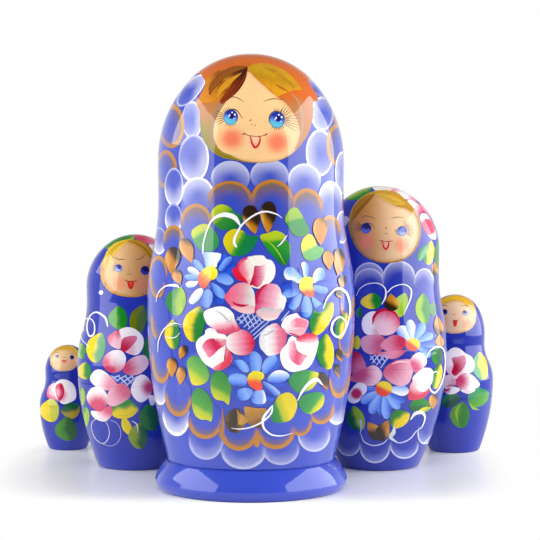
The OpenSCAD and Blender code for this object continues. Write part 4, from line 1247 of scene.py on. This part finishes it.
def paint_second():
    d = dolls["second"]
    pen = Pen(d, "kerchief", *SECOND_HEAD)
    for c, rx, ry, turn in [
            ((385, 1050), 146, 146, 0), ((385, 1100), 146, 140, 0), ((920, 1100), 100, 138, 4),
            ((676, 1045), 158, 156, 0)]:
        pen.oval(c, rx, ry, turn, ARCH)
    leaf(pen, (165, 290), (420, 150), 95, GREEN, LIME, 2)
    leaf(pen, (990, 695), (960, 930), 120, GREEN, YELLOW, 3)
    leaf(pen, (1062, 690), (1050, 980), 60, GREEN, DARK_GREEN, 4)
    leaf(pen, (950, 740), (868, 890), 70, GREEN, "5fb08a", 5)
    bud(pen, (1028, 900), (1020, 1030), 70, 0.35, seed=3)
    petal(pen, [(408, 140), (500, 140), (620, 172), (600, 205), (520, 212), (440, 200)], (620, 200),
          "f3e3d0", PALE, 3)
    petal(pen, [(603, 190), (690, 172), (800, 232), (868, 304), (770, 292), (665, 270), (620, 235)],
          (700, 275), PALE, PINK, 4, (0.25, 0.7))
    petal(pen, [(738, 312), (800, 296), (878, 342), (918, 392), (882, 434), (802, 412), (745, 360)],
          (742, 350), PALE, "e04a78", 5, (0.35, 0.95))
    petal(pen, [(884, 450), (930, 425), (988, 486), (1032, 588), (1036, 676), (982, 664), (912, 565)],
          (960, 560), "dd2f5e", PALE, 6, (0.45, 0.7))
    petal(pen, [(880, 330), (935, 360), (1000, 455), (975, 455), (925, 410)], (900, 350), PINK, "d63c66", 7)
    face = Pen(d, "face", *SECOND_HEAD)
    # Flesh darker on the left: painted shade, where the largest doll takes the light
    small_face(face, [(440, 205), (560, 200), (660, 225), (750, 300), (840, 400), (885, 500), (892, 610),
                      (865, 730), (800, 825), (700, 890), (575, 912), (460, 900), (345, 848), (260, 765),
                      (205, 650), (182, 540), (195, 430), (245, 330), (330, 255)],
               [(455, 238), (530, 290), (640, 352), (740, 380), (815, 430), (855, 510), (868, 600),
                (848, 715), (788, 812), (700, 872), (575, 898), (465, 886), (360, 835), (280, 755),
                (232, 650), (222, 545), (262, 425), (350, 335), (420, 262)], ("cf9a20", "a87828"),
               (455, 220), "c4823a", "f2cda2", [((352, 705), 112, 0.75), ((700, 735), 116, 0.6)])
    face.stroke([(450, 235), (540, 265), (640, 305), (730, 330)], [10, 62, 74, 20],
                streaks("d9ab3c", "8a5a14", 22, 9), n=40, across=10)
    face.stroke([(438, 235), (360, 290), (280, 370), (222, 480)], [10, 66, 78, 30],
                streaks("a8701c", "744410", 24, 4, (-0.1, 0.9)), n=40, across=10)
    for line in ([(312, 457), (372, 451), (442, 477)], [(598, 476), (650, 463), (722, 465)]):
        face.stroke(line, [3, 6, 3], INK, n=16, across=2)
    iris(face, (355, 571), 50, "4a58bc", "221c78", "180c56", "120640")
    iris(face, (706, 600), 48, "9aa8e0", "6a7ccc", "4a58b4", "6474c4")
    face.stroke([(320, 533), (360, 520), (405, 528), (442, 575)], [3, 7, 7, 3], "24306e", n=20, across=2)
    fan(face, (355, 571), range(160, 215, 9), 52, 135, 5)
    fan(face, (706, 600), range(-75, 42, 9), 54, 118, 5)
    fan(face, (706, 600), range(150, 200, 14), 52, 78, 5)
    for c in [(543, 622), (560, 627)]:
        face.dot(c, 5, INK)
    mouth(face, [(486, 690), (545, 700), (612, 696)], [(514, 702), (526, 752), (548, 776), (570, 748),
            (578, 702)], 9)

    pen = Pen(d, "edging", *SECOND_BODY)
    for c, rx, ry, turn in [
            ((165, 1262), 100, 96, 0), ((850, 1120), 82, 140, 18), ((645, 1262), 125, 120, 0),
            ((392, 1290), 130, 130, 0)]:
        pen.oval(c, rx, ry, turn, HEM_LINE)
    for line in (
            [(270, 1170), (300, 1235), (380, 1266), (460, 1248), (508, 1205)],
            [(520, 1205), (600, 1243), (690, 1212), (752, 1140)],
            [(960, 960), (935, 1060), (880, 1180), (810, 1252)]):
        pen.stroke(line, [4, 8, 9, 8, 4][:len(line)], mix(SHADED_BLUE, WHITE, 0.75), n=30, across=3)
    pen = Pen(d, "leaves", *SECOND_BODY)
    for tip, base, w, up, low in [
            ((370, -62), (385, 80), 178, YELLOW, GREEN), ((655, -60), (600, 150), 120, "a9cf66", LIME),
            ((812, -60), (830, 212), 125, LIME, GREEN), ((900, 15), (905, 140), 74, GREEN, DARK_GREEN),
            ((238, 310), (236, 432), 74, LIME, YELLOW), ((945, 412), (935, 570), 96, GREEN, DARK_GREEN),
            ((962, 560), (912, 775), 90, GREEN, YELLOW), ((884, 938), (688, 925), 128, GREEN, DARK_GREEN),
            ((880, 935), (760, 985), 40, YELLOW, LIME), ((690, 985), (535, 1100), 150, GREEN, YELLOW),
            ((205, 925), (275, 1135), 150, DARK_GREEN, LIME),
            ((262, 60), (255, 160), 60, "2f7f72", DARK_GREEN)]:
        leaf(pen, tip, base, w, up, low, seed=int(w))
    pen = Pen(d, "flowers", *SECOND_BODY)
    daisy(pen, (722, 388), [(-128, 195, 105, "white"), (-98, 215, 82, "white"), (-64, 205, 90, "light"),
            (-28, 190, 88, "light"), (-3, 215, 66, "dark"), (34, 180, 84, "light"), (60, 160, 60, "dark")],
          62, 128)
    daisy(pen, (468, 772), [(172, 205, 84, "dark"), (148, 225, 90, "light"), (118, 240, 92, "light"),
            (98, 230, 60, "dark"), (84, 260, 86, "light"), (52, 215, 88, "light"), (32, 210, 74, "dark"),
            (6, 215, 92, "white")], 72, 116)
    petal(pen, [(283, 250), (283, 170), (328, 115), (385, 98), (420, 130), (410, 220), (450, 302),
                (380, 306), (318, 298)], (430, 280), "d8a9b8", PALE, 1, (0.1, 0.5))
    petal(pen, [(372, 160), (420, 96), (482, 80), (552, 95), (594, 142), (608, 200), (590, 250), (552, 290),
                (496, 308), (440, 300), (402, 255), (388, 205)], (440, 290), "f0c2cf", "d24a74", 2,
          (0.35, 0.95))
    pen.stroke([(372, 214), (384, 146), (430, 98), (500, 86), (568, 118), (604, 190)],
               [8, 24, 26, 22, 20, 6], CRIMSON, n=40, across=4)
    petal(pen, [(264, 380), (280, 330), (340, 304), (420, 304), (478, 336), (468, 410), (430, 456),
                (360, 474), (298, 445)], (470, 400), "c75a80", "e3a3b8", 3)
    petal(pen, [(438, 400), (500, 330), (560, 304), (622, 318), (664, 352), (652, 404), (600, 444),
                (518, 454)], (650, 360), "c42656", "e08aa6", 4, (0.15, 0.8))
    petal(pen, [(378, 466), (500, 448), (655, 438), (604, 494), (540, 514), (450, 494)], (520, 450),
          "e38fa9", "d3557d", 5)
    petal(pen, [(170, 470), (230, 450), (268, 470), (296, 520), (316, 582), (290, 634), (230, 645),
                (170, 620)], (300, 620), "d66f8f", "b3123c", 6)
    petal(pen, [(160, 690), (230, 630), (320, 588), (380, 568), (432, 600), (454, 652), (432, 704),
                (380, 744), (316, 744), (240, 720)], (260, 640), "c94871", "efc0cf", 7, (0.2, 0.9))
    petal(pen, [(160, 822), (200, 760), (250, 718), (312, 738), (320, 792), (282, 834), (250, 884),
                (198, 898), (160, 872)], (232, 815), "cf2a58", PALE, 8, (0.3, 0.55))
    petal(pen, [(466, 622), (500, 570), (560, 530), (622, 518), (702, 520), (726, 582), (714, 654),
                (682, 724), (618, 750), (538, 724), (478, 672)], (480, 560), "d0507a", "eba9bd", 9,
          (0.2, 0.9))
    pen.stroke([(540, 556), (610, 536), (690, 544)], [6, 16, 6], "f4cbd7", n=24, across=4)
    petal(pen, [(698, 522), (738, 470), (784, 456), (834, 500), (838, 552), (800, 602), (750, 634),
                (716, 600)], (712, 600), "d7648a", PALE, 10, (0.3, 0.85))
    petal(pen, [(686, 782), (708, 718), (740, 700), (800, 760), (862, 738), (864, 792), (804, 854),
                (688, 868)], (760, 730), "f3b6c3", "d2324f", 11, (0.2, 0.7))
    petal(pen, [(716, 682), (760, 630), (830, 588), (888, 608), (894, 682), (872, 742), (828, 794),
                (778, 792), (738, 756)], (720, 740), "f2c6cf", PALE, 12, (0.05, 0.35))
    lattice(pen, [((350, 520), (392, 476)), ((368, 548), (432, 476)), ((405, 566), (470, 484)),
                  ((440, 590), (512, 490)), ((352, 484), (395, 548)), ((395, 478), (440, 552)),
                  ((440, 478), (478, 540)), ((480, 478), (500, 515))], 11)
    for tip, base, w, dark in [
            ((528, -52), (545, 95), 124, 0.45), ((925, 138), (955, 300), 82, 0.3),
            ((950, 300), (950, 412), 78, 0.1), ((892, 948), (900, 820), 78, 0.15),
            ((330, 1066), (440, 1210), 120, 0.55), ((505, 1050), (420, 1220), 120, 0.6)]:
        bud(pen, tip, base, w, dark, seed=int(w))
    pen = Pen(d, "curls", *SECOND_BODY)
    curl(pen, [(231, -36), (262, -98), (330, -140), (418, -145), (478, -104), (484, -30), (452, 34)],
         [3, 6, 7, 8, 10, 13, 9])
    curl(pen, [(500, -66), (552, -115), (640, -136), (700, -98), (703, -30), (675, 50), (640, 132)],
         [6, 8, 8, 11, 12, 8, 3])
    curl(pen, [(836, 500), (870, 442), (930, 406), (984, 430), (1000, 520), (990, 640), (960, 742),
               (912, 806), (872, 780), (862, 720), (880, 654), (918, 622), (945, 642)],
         [4, 10, 14, 13, 10, 10, 12, 15, 13, 10, 10, 9, 4])
    curl(pen, [(700, 1040), (738, 990), (796, 978), (824, 1022), (800, 1100), (752, 1140)],
         [8, 26, 30, 14, 8, 3])
    curl(pen, [(560, 1096), (552, 1150), (528, 1195), (590, 1240)], [8, 36, 30, 4],
         mix(linear("c4d8c0"), WHITE, 0.4))
    curl(pen, [(268, 1048), (272, 1110), (264, 1172)], [20, 14, 3], mix(SHADED_BLUE, WHITE, 0.6))


def paint_third():
    d = dolls["third"]
    pen = Pen(d, "kerchief", *THIRD_SHEET)
    leaf(pen, (212, 168), (392, 92), 62, LIME, GREEN, 1)
    petal(pen, [(372, 96), (430, 84), (510, 105), (556, 150), (520, 170), (480, 150), (430, 128)],
          (380, 110), "d63a5c", "f0a0b4", 2, (0.3, 0.95))
    petal(pen, [(478, 150), (520, 150), (560, 190), (556, 240), (520, 215), (490, 190)], (500, 170), PALE,
          "d9527a", 3, (0.3, 0.95))
    pen.dot((187, 437), 13, WHITE)
    pen.dot((74, 660), 11, WHITE)
    face = Pen(d, "face", *THIRD_SHEET)
    # Flesh darker on the right: painted shade, where the largest doll takes the light
    small_face(face, [(345, 118), (270, 142), (222, 195), (190, 262), (184, 332), (206, 396), (262, 444),
                      (350, 464), (440, 456), (500, 412), (530, 340), (528, 262), (494, 186), (430, 132)],
               [(340, 136), (286, 172), (240, 232), (208, 302), (208, 352), (232, 402), (282, 440),
                (350, 458), (424, 450), (482, 414), (512, 352), (512, 285), (482, 212), (420, 158)],
               ("e8b41c", "d8962c"), (345, 125), "eec48c", "cc9054",
               [((298, 384), 66, 0.5), ((430, 388), 62, 0.4)])
    face.stroke([(345, 130), (290, 152), (240, 205), (212, 280)], [8, 40, 46, 20],
                streaks("f0cc3a", "b98414", 18, 5), n=30, across=8)
    face.stroke([(350, 128), (410, 140), (470, 185), (508, 260)], [8, 40, 46, 20],
                streaks("c08a20", "7a4410", 14, 7), n=30, across=8)
    for line in ([(258, 220), (296, 238), (332, 236)], [(394, 241), (428, 232), (456, 204)]):
        face.stroke(line, [2, 4.5, 2], INK, n=14, across=2)
    iris(face, (292, 291), 23, "aab6e4", "7586d0", "3c4aac", "242c80")
    iris(face, (452, 304), 26, "2c3498", "161a74", "0c0e58", "080838")
    fan(face, (292, 291), range(150, 235, 14), 24, 40, 3)
    fan(face, (452, 304), range(-60, 40, 14), 30, 48, 3)
    for c in [(350, 326), (366, 327)]:
        face.dot(c, 3.5, INK)
    mouth(face, [(332, 364), (366, 372), (402, 365)], [(348, 370), (355, 398), (366, 412), (377, 398),
            (384, 370)], 6, "e8452a")
    pen = Pen(d, "leaves", *THIRD_SHEET)
    for tip, base, w, up, low in [
            ((292, 518), (312, 662), 112, "5aa83c", "0f8418"),
            ((440, 512), (402, 694), 100, "6f7c08", "4c6a06"),
            ((190, 680), (148, 862), 112, YELLOW, "4a9a5c"), ((74, 744), (70, 838), 60, LIME, GREEN),
            ((92, 858), (98, 962), 84, YELLOW, GREEN), ((74, 1008), (74, 1118), 50, GREEN, LIME),
            ((98, 1128), (90, 1248), 62, GREEN, LIME), ((412, 1138), (250, 1160), 124, "1d8a34", YELLOW),
            ((320, 1185), (375, 1300), 54, YELLOW, YELLOW),
            ((425, 1222), (420, 1382), 112, "8aa01c", DARK_GREEN),
            ((470, 1108), (500, 1272), 110, "2f7a24", DARK_GREEN),
            ((470, 700), (465, 860), 50, DARK_GREEN, GREEN)]:
        leaf(pen, tip, base, w, up, low, seed=int(w))
    pen = Pen(d, "flowers", *THIRD_SHEET)
    petal(pen, [(228, 712), (258, 680), (312, 660), (322, 710), (302, 776), (246, 756)], (310, 770),
          "f3c3cf", "dc5578", 1, (0.3, 0.9))
    petal(pen, [(306, 700), (300, 662), (350, 646), (402, 664), (442, 712), (438, 772), (402, 814),
                (340, 800), (312, 760)], (330, 780), "f2b9c8", PALE, 2, (0.3, 0.6))
    petal(pen, [(314, 722), (358, 700), (402, 702), (396, 734), (346, 786), (308, 796)], (312, 790),
          "c41a48", "e27797", 3, (0.2, 0.95))
    petal(pen, [(198, 862), (220, 810), (270, 784), (312, 790), (338, 832), (322, 892), (280, 918),
                (228, 912)], (320, 800), PALE, "e07f9c", 4, (0.25, 0.8), "d2315c", 140)
    petal(pen, [(318, 905), (350, 850), (402, 820), (452, 818), (474, 862), (452, 904), (402, 934),
                (350, 932)], (325, 900), "d3466f", "f4c9d5", 5, (0.15, 0.75))
    petal(pen, [(122, 950), (150, 908), (192, 904), (242, 940), (284, 992), (240, 1024), (188, 1022),
                (138, 988)], (270, 1000), "ea90a8", PALE, 6, (0.2, 0.75))
    petal(pen, [(224, 1062), (250, 1010), (312, 984), (354, 1010), (364, 1062), (312, 1104), (258, 1124),
                (224, 1102)], (350, 1010), "d95d80", "f2b3c2", 7, (0.2, 0.85))
    petal(pen, [(128, 1152), (182, 1150), (244, 1118), (254, 1172), (210, 1214), (148, 1194)], (240, 1130),
          "dc4f76", PALE, 8, (0.2, 0.9))
    petal(pen, [(102, 1062), (130, 1014), (182, 1008), (222, 1050), (228, 1102), (190, 1154), (148, 1142),
                (112, 1102)], (170, 1130), "d5446c", PALE, 9, (0.3, 0.85))
    petal(pen, [(368, 1012), (400, 950), (442, 932), (484, 970), (494, 1032), (460, 1084), (420, 1098),
                (380, 1062)], (480, 1010), "cf3f6b", PALE, 10, (0.15, 0.65))
    petal(pen, [(474, 1064), (500, 1056), (512, 1090), (504, 1116), (484, 1112)], (490, 1060), PALE,
          "d8dcf0", 11)
    lattice(pen, [((262, 952), (300, 936)), ((282, 968), (340, 936)), ((310, 982), (380, 938)),
                  ((340, 998), (404, 942)), ((250, 938), (290, 972)), ((290, 938), (345, 992)),
                  ((330, 938), (372, 984)), ((365, 938), (392, 962))], 8)
    pen = Pen(d, "curls", *THIRD_SHEET)
    curl(pen, [(228, 640), (212, 588), (162, 556), (126, 574), (106, 620), (106, 672), (122, 702),
               (146, 682), (148, 630), (126, 596), (92, 602), (70, 652), (72, 716), (114, 764)],
         [8, 12, 9, 7, 7, 8, 10, 9, 7, 6, 6, 5, 4, 3])
    curl(pen, [(232, 1212), (180, 1196), (140, 1212), (130, 1252), (150, 1312), (192, 1346), (224, 1330),
               (238, 1282), (222, 1224), (182, 1198)], [2, 3, 4, 4, 4, 4, 5, 4, 3, 2],
         mix(SHADED_BLUE, WHITE, 0.75))
    curl(pen, [(190, 1346), (250, 1362), (298, 1326), (306, 1272), (284, 1226), (244, 1206)],
         [3, 3, 3, 3, 3, 2], mix(SHADED_BLUE, WHITE, 0.6))
    curl(pen, [(372, 1210), (402, 1232), (410, 1282)], [2, 6, 3])


def paint_fourth():
    d = dolls["fourth"]
    face = Pen(d, "face", *FOURTH_SHEET)
    # Flesh darker on the left: painted shade
    small_face(face, [(30, 270), (68, 192), (130, 150), (210, 128), (292, 138), (362, 184), (400, 260),
                      (402, 330), (388, 388), (342, 436), (262, 463), (180, 465), (98, 436), (40, 385),
                      (24, 320)], [(60, 248), (120, 205), (210, 182), (270, 188), (340, 228), (388, 290),
            (393, 340), (382, 384), (338, 430), (260, 458), (180, 460), (102, 430), (48, 380), (34, 315)],
               ("e6ac1c", "dcae70"), (205, 140), "e6b890", "f4d0a8",
               [((322, 378), 60, 0.5), ((110, 375), 58, 0.5)])
    face.stroke([(60, 225), (130, 176), (210, 155), (295, 172), (372, 255)], [14, 44, 48, 44, 16],
                streaks("ecb81e", "c08a18", 12, 15, (-0.2, 1.0)), n=40, across=8)
    for line in ([(262, 222), (312, 222), (362, 246)], [(60, 240), (110, 222), (158, 226)]):
        face.stroke(line, [2, 5, 2], INK, n=12, across=2)
    iris(face, (303, 288), 23, "b4bade", "868ec8", "5c66b0", "3c4490")
    iris(face, (128, 278), 24, "3a4098", "1c2070", "0e1050", "080838")
    fan(face, (303, 290), range(-40, 60, 20), 29, 46, 3.5)
    fan(face, (134, 280), range(130, 230, 20), 29, 46, 3.5)
    for c in [(200, 300), (216, 301)]:
        face.dot(c, 4, INK)
    mouth(face, [(194, 348), (220, 354), (250, 348)], [(204, 352), (208, 386), (218, 402), (228, 386),
            (234, 352)], 6, "d8382c")
    pen = Pen(d, "leaves", *FOURTH_SHEET)
    for tip, base, w, up, low in [
            ((428, 628), (470, 872), 132, "62b078", YELLOW),
            ((512, 978), (340, 1085), 170, "2a9058", "4a9c1c"),
            ((288, 1062), (268, 1290), 168, "4f9a22", "1f7a18"),
            ((262, 1018), (112, 1095), 120, "2a7a3c", "0a4a3a")]:
        leaf(pen, tip, base, w, up, low, seed=int(w))
    for line in ([(262, 1082), (230, 1150), (242, 1236)], [(348, 1078), (376, 1114), (424, 1130)]):
        pen.stroke(line, [5, 22, 6], LIME, n=20, across=4)
    pen = Pen(d, "flowers", *FOURTH_SHEET)
    petal(pen, [(128, 850), (168, 826), (212, 856), (232, 902), (180, 934), (130, 944)], (225, 900),
          "dba0b2", "efd3da", 1)
    petal(pen, [(128, 962), (198, 930), (262, 950), (222, 988), (158, 994)], (140, 945), "c22450", PALE, 2,
          (0.15, 0.45))
    petal(pen, [(130, 660), (160, 618), (210, 588), (262, 600), (312, 640), (362, 670), (388, 732),
                (372, 794), (320, 818), (268, 834), (220, 864), (178, 834), (140, 780)], (210, 820),
          "f0c4cf", PALE, 3, (0.2, 0.5))
    petal(pen, [(190, 682), (240, 668), (302, 660), (314, 722), (282, 782), (222, 834), (188, 804),
                (204, 742)], (195, 780), "b80f3c", "ea9cb2", 4, (0.2, 0.95))
    petal(pen, [(268, 962), (330, 942), (394, 958), (332, 990)], (330, 945), "efc3cd", PALE, 5)
    petal(pen, [(224, 892), (250, 840), (302, 808), (352, 820), (402, 862), (434, 912), (402, 944),
                (340, 964), (278, 954), (238, 922)], (240, 880), "cc3a68", PALE, 6, (0.2, 0.7))
    pen.stroke([(140, 932), (175, 918), (222, 914)], [4, 10, 4], "a81238", n=16, across=3)


def paint_smallest():
    d = dolls["smallest"]
    face = Pen(d, "face", *SMALLEST_SHEET)
    small_face(face, [(245, 300), (288, 230), (350, 196), (430, 182), (512, 196), (566, 240), (590, 305),
                      (588, 380), (552, 446), (492, 485), (420, 498), (348, 494), (286, 462), (244, 402)],
               [(410, 240), (338, 248), (284, 276), (248, 332), (252, 400), (292, 460), (350, 490),
                (420, 494), (490, 480), (546, 440), (576, 380), (576, 316), (540, 272), (478, 250)],
               ("dca41c", "e6c188"), (420, 190), "eecb98", "e2b686",
               [((310, 400), 60, 0.2), ((510, 405), 60, 0.3)])
    face.stroke([(268, 280), (330, 232), (420, 214), (500, 226), (570, 290)], [14, 40, 46, 42, 14],
                streaks("e3b328", "a8711a", 14, 25, (-0.1, 1.0)), n=36, across=8)
    iris(face, (326, 318), 22, "9a90b8", "746498", "564888", "3c2c68")
    iris(face, (506, 330), 26, "44347c", "2a1a5c", "1c0e44", "0c0420")
    for line in ([(292, 282), (330, 272), (362, 284)], [(470, 288), (508, 280), (545, 296)]):
        face.stroke(line, [2, 5, 2], INK, n=10, across=2)
    for c in [(400, 333), (418, 334)]:
        face.dot(c, 5, INK)
    face.stroke([(378, 368), (412, 374), (450, 368)], [6, 22, 6], "dc5a4e", n=16, across=4)
    face.stroke([(392, 382), (412, 396), (434, 382)], [6, 22, 6], "ea8a78", n=16, across=4)
    pen = Pen(d, "leaves", *SMALLEST_SHEET)
    leaf(pen, (262, 826), (262, 1112), 228, YELLOW, "c4c41a", 1)
    leaf(pen, (378, 985), (600, 925), 190, "b59a1c", DARK_GREEN, 2)
    leaf(pen, (440, 1045), (490, 1336), 262, "3f8c1c", "0c5c1e", 3)
    pen = Pen(d, "flowers", *SMALLEST_SHEET)
    petal(pen, [(202, 762), (228, 682), (290, 640), (330, 690), (330, 760), (322, 834), (268, 836),
                (212, 812)], (320, 700), "f7cdd6", "dd5a80", 1, (0.3, 0.9))
    petal(pen, [(300, 660), (360, 600), (420, 596), (482, 620), (532, 670), (554, 742), (548, 832),
                (482, 874), (420, 894), (366, 874), (320, 800)], (360, 780), "eb8fac", PALE, 2,
          (0.25, 0.55))
    petal(pen, [(308, 690), (332, 650), (382, 644), (410, 700), (410, 782), (372, 844), (332, 854),
                (314, 780)], (330, 760), "e68aa0", "cb1f4c", 3, (0.1, 0.6))
    pen.stroke([(300, 660), (292, 720), (312, 800), (340, 850)], [4, 14, 14, 4], PALE, n=20, across=3)


paint_outer_kerchief()
paint_outer_face()
paint_outer_edging()
paint_outer_leaves()
paint_outer_daisies()
paint_outer_roses()
paint_outer_details()
paint_second()
paint_third()
paint_fourth()
paint_smallest()

for d in dolls.values():
    for part in d.parts:
        shell(d, part)

for d in dolls.values():
    for group, layers in d.groups.items():
        for part in d.parts:
            painted(d, part, group, layers)


# Stage: a pale floor that runs out to white, and soft studio lights

def stage_floor():
    mesh = bpy.data.meshes.new("floor")
    half = 0.26
    corners = [(-half, -half, 0), (half, -half, 0), (half, half, 0), (-half, half, 0)]
    mesh.from_pydata(corners, [], [(0, 1, 2, 3)])
    m, tree, bsdf = principled("pale_floor")
    bsdf.inputs["Base Color"].default_value = (0.93, 0.93, 0.935, 1)
    bsdf.inputs["Roughness"].default_value = 0.28
    bsdf.inputs["Specular IOR Level"].default_value = 0.35
    # White again outside a rounded rectangle about the set: half spans and middle of the shaded floor
    half_x, half_y, middle = 0.115, 0.090, 0.050
    where = tree.nodes.new("ShaderNodeTexCoord")
    place = tree.nodes.new("ShaderNodeMapping")
    place.inputs["Location"].default_value = (0, -middle / half_y, 0)
    place.inputs["Scale"].default_value = (1 / half_x, 1 / half_y, 0)
    tree.links.new(where.outputs["Object"], place.inputs["Vector"])
    square = node(tree, "ShaderNodeVectorMath", operation="MULTIPLY")
    far = node(tree, "ShaderNodeVectorMath", operation="DOT_PRODUCT")
    for k in (0, 1):
        tree.links.new(place.outputs["Vector"], square.inputs[k])
        tree.links.new(square.outputs["Vector"], far.inputs[k])
    fade = node(tree, "ShaderNodeMapRange", From_Min=0.25, From_Max=1.0)
    fade.interpolation_type = "SMOOTHSTEP"
    tree.links.new(far.outputs["Value"], fade.inputs["Value"])
    path = tree.nodes.new("ShaderNodeLightPath")
    seen = node(tree, "ShaderNodeMath", operation="MULTIPLY")
    tree.links.new(fade.outputs["Result"], seen.inputs[0])
    tree.links.new(path.outputs["Is Camera Ray"], seen.inputs[1])
    white = node(tree, "ShaderNodeEmission", Color=(1, 1, 1, 1), Strength=1.0)
    blend = tree.nodes.new("ShaderNodeMixShader")
    tree.links.new(seen.outputs["Value"], blend.inputs["Fac"])
    tree.links.new(bsdf.outputs["BSDF"], blend.inputs[1])
    tree.links.new(white.outputs["Emission"], blend.inputs[2])
    tree.links.new(blend.outputs["Shader"], tree.nodes["Material Output"].inputs["Surface"])
    mesh.materials.append(m)
    o = bpy.data.objects.new("floor", mesh)
    bpy.context.scene.collection.objects.link(o)


def panel(name, x, y, z, shine):
    """A tall lit panel beside the set, facing it: its place, the spans it covers, and its brightness."""
    light = bpy.data.lights.new(name, "AREA")
    light.shape = "RECTANGLE"
    light.size, light.size_y = z[1] - z[0], y[1] - y[0]
    light.energy = shine * math.pi * light.size * light.size_y
    o = bpy.data.objects.new(name, light)
    o.location = (x, sum(y) / 2, sum(z) / 2)
    o.rotation_euler = (0, math.copysign(math.pi / 2, x), 0)
    o.visible_camera = False
    bpy.context.scene.collection.objects.link(o)


def overhead():
    """A wide soft light above and in front, left out of the reflections."""
    light = bpy.data.lights.new("overhead", "AREA")
    light.size = 1.0
    light.energy = 9.0
    o = bpy.data.objects.new("overhead", light)
    o.location = (0, -0.75, 1.15)
    o.rotation_euler = (math.radians(34), 0, 0)
    o.visible_camera = False
    o.visible_glossy = False
    bpy.context.scene.collection.objects.link(o)


def studio():
    """White to the camera; for the light on the set, dim in front and bright behind."""
    world = bpy.data.worlds.new("studio")
    bpy.context.scene.world = world
    world.use_nodes = True
    tree = world.node_tree
    light = tree.nodes["Background"]
    light.inputs["Color"].default_value = (1, 1, 1, 1)
    where = tree.nodes.new("ShaderNodeTexCoord")
    split = tree.nodes.new("ShaderNodeSeparateXYZ")
    tree.links.new(where.outputs["Generated"], split.inputs["Vector"])
    depth = node(tree, "ShaderNodeMapRange", From_Min=-0.9, From_Max=0.8, To_Min=0.06, To_Max=0.85)
    tree.links.new(split.outputs["Y"], depth.inputs["Value"])
    height = node(tree, "ShaderNodeMapRange", From_Min=0.1, From_Max=0.5, To_Min=1.0, To_Max=0.2)
    tree.links.new(split.outputs["Z"], height.inputs["Value"])
    both = node(tree, "ShaderNodeMath", operation="MULTIPLY")
    tree.links.new(depth.outputs["Result"], both.inputs[0])
    tree.links.new(height.outputs["Result"], both.inputs[1])
    tree.links.new(both.outputs["Value"], light.inputs["Strength"])
    white = node(tree, "ShaderNodeBackground", Color=(1, 1, 1, 1), Strength=1.0)
    path = tree.nodes.new("ShaderNodeLightPath")
    pick = tree.nodes.new("ShaderNodeMixShader")
    tree.links.new(path.outputs["Is Camera Ray"], pick.inputs["Fac"])
    tree.links.new(light.outputs["Background"], pick.inputs[1])
    tree.links.new(white.outputs["Background"], pick.inputs[2])
    tree.links.new(pick.outputs["Shader"], tree.nodes["World Output"].inputs["Surface"])


stage_floor()
# Side panels in two parts each: the left one's upper part reaches further back, the right ones past the set
PANEL_FRONT, LEFT_X, RIGHT_X = -0.64, -0.62, 0.66
RIGHT_BACK, RIGHT_MORE = 0.42, 0.3
for level, z, back, shine in (("low", (0.0, 0.24), 0.03, 3.0), ("high", (0.24, 0.70), 0.28, 3.4)):
    panel(f"left_panel_{level}", LEFT_X, (PANEL_FRONT, back), z, shine)
    panel(f"right_panel_{level}", RIGHT_X, (PANEL_FRONT, RIGHT_BACK), z, shine + RIGHT_MORE)
overhead()
studio()

cam_data = bpy.data.cameras.new("camera")
cam_data.sensor_width = SENSOR_MM
cam_data.lens = FOCAL * SENSOR_MM / SIDE
cam = bpy.data.objects.new("camera", cam_data)
cam.location = EYE.tolist()
cam.rotation_euler = (math.pi / 2 - PITCH, 0, 0)
cam_data.clip_start, cam_data.clip_end = 0.05, 50
bpy.context.scene.collection.objects.link(cam)
bpy.context.scene.camera = cam
bpy.context.scene.view_settings.view_transform = "Standard"
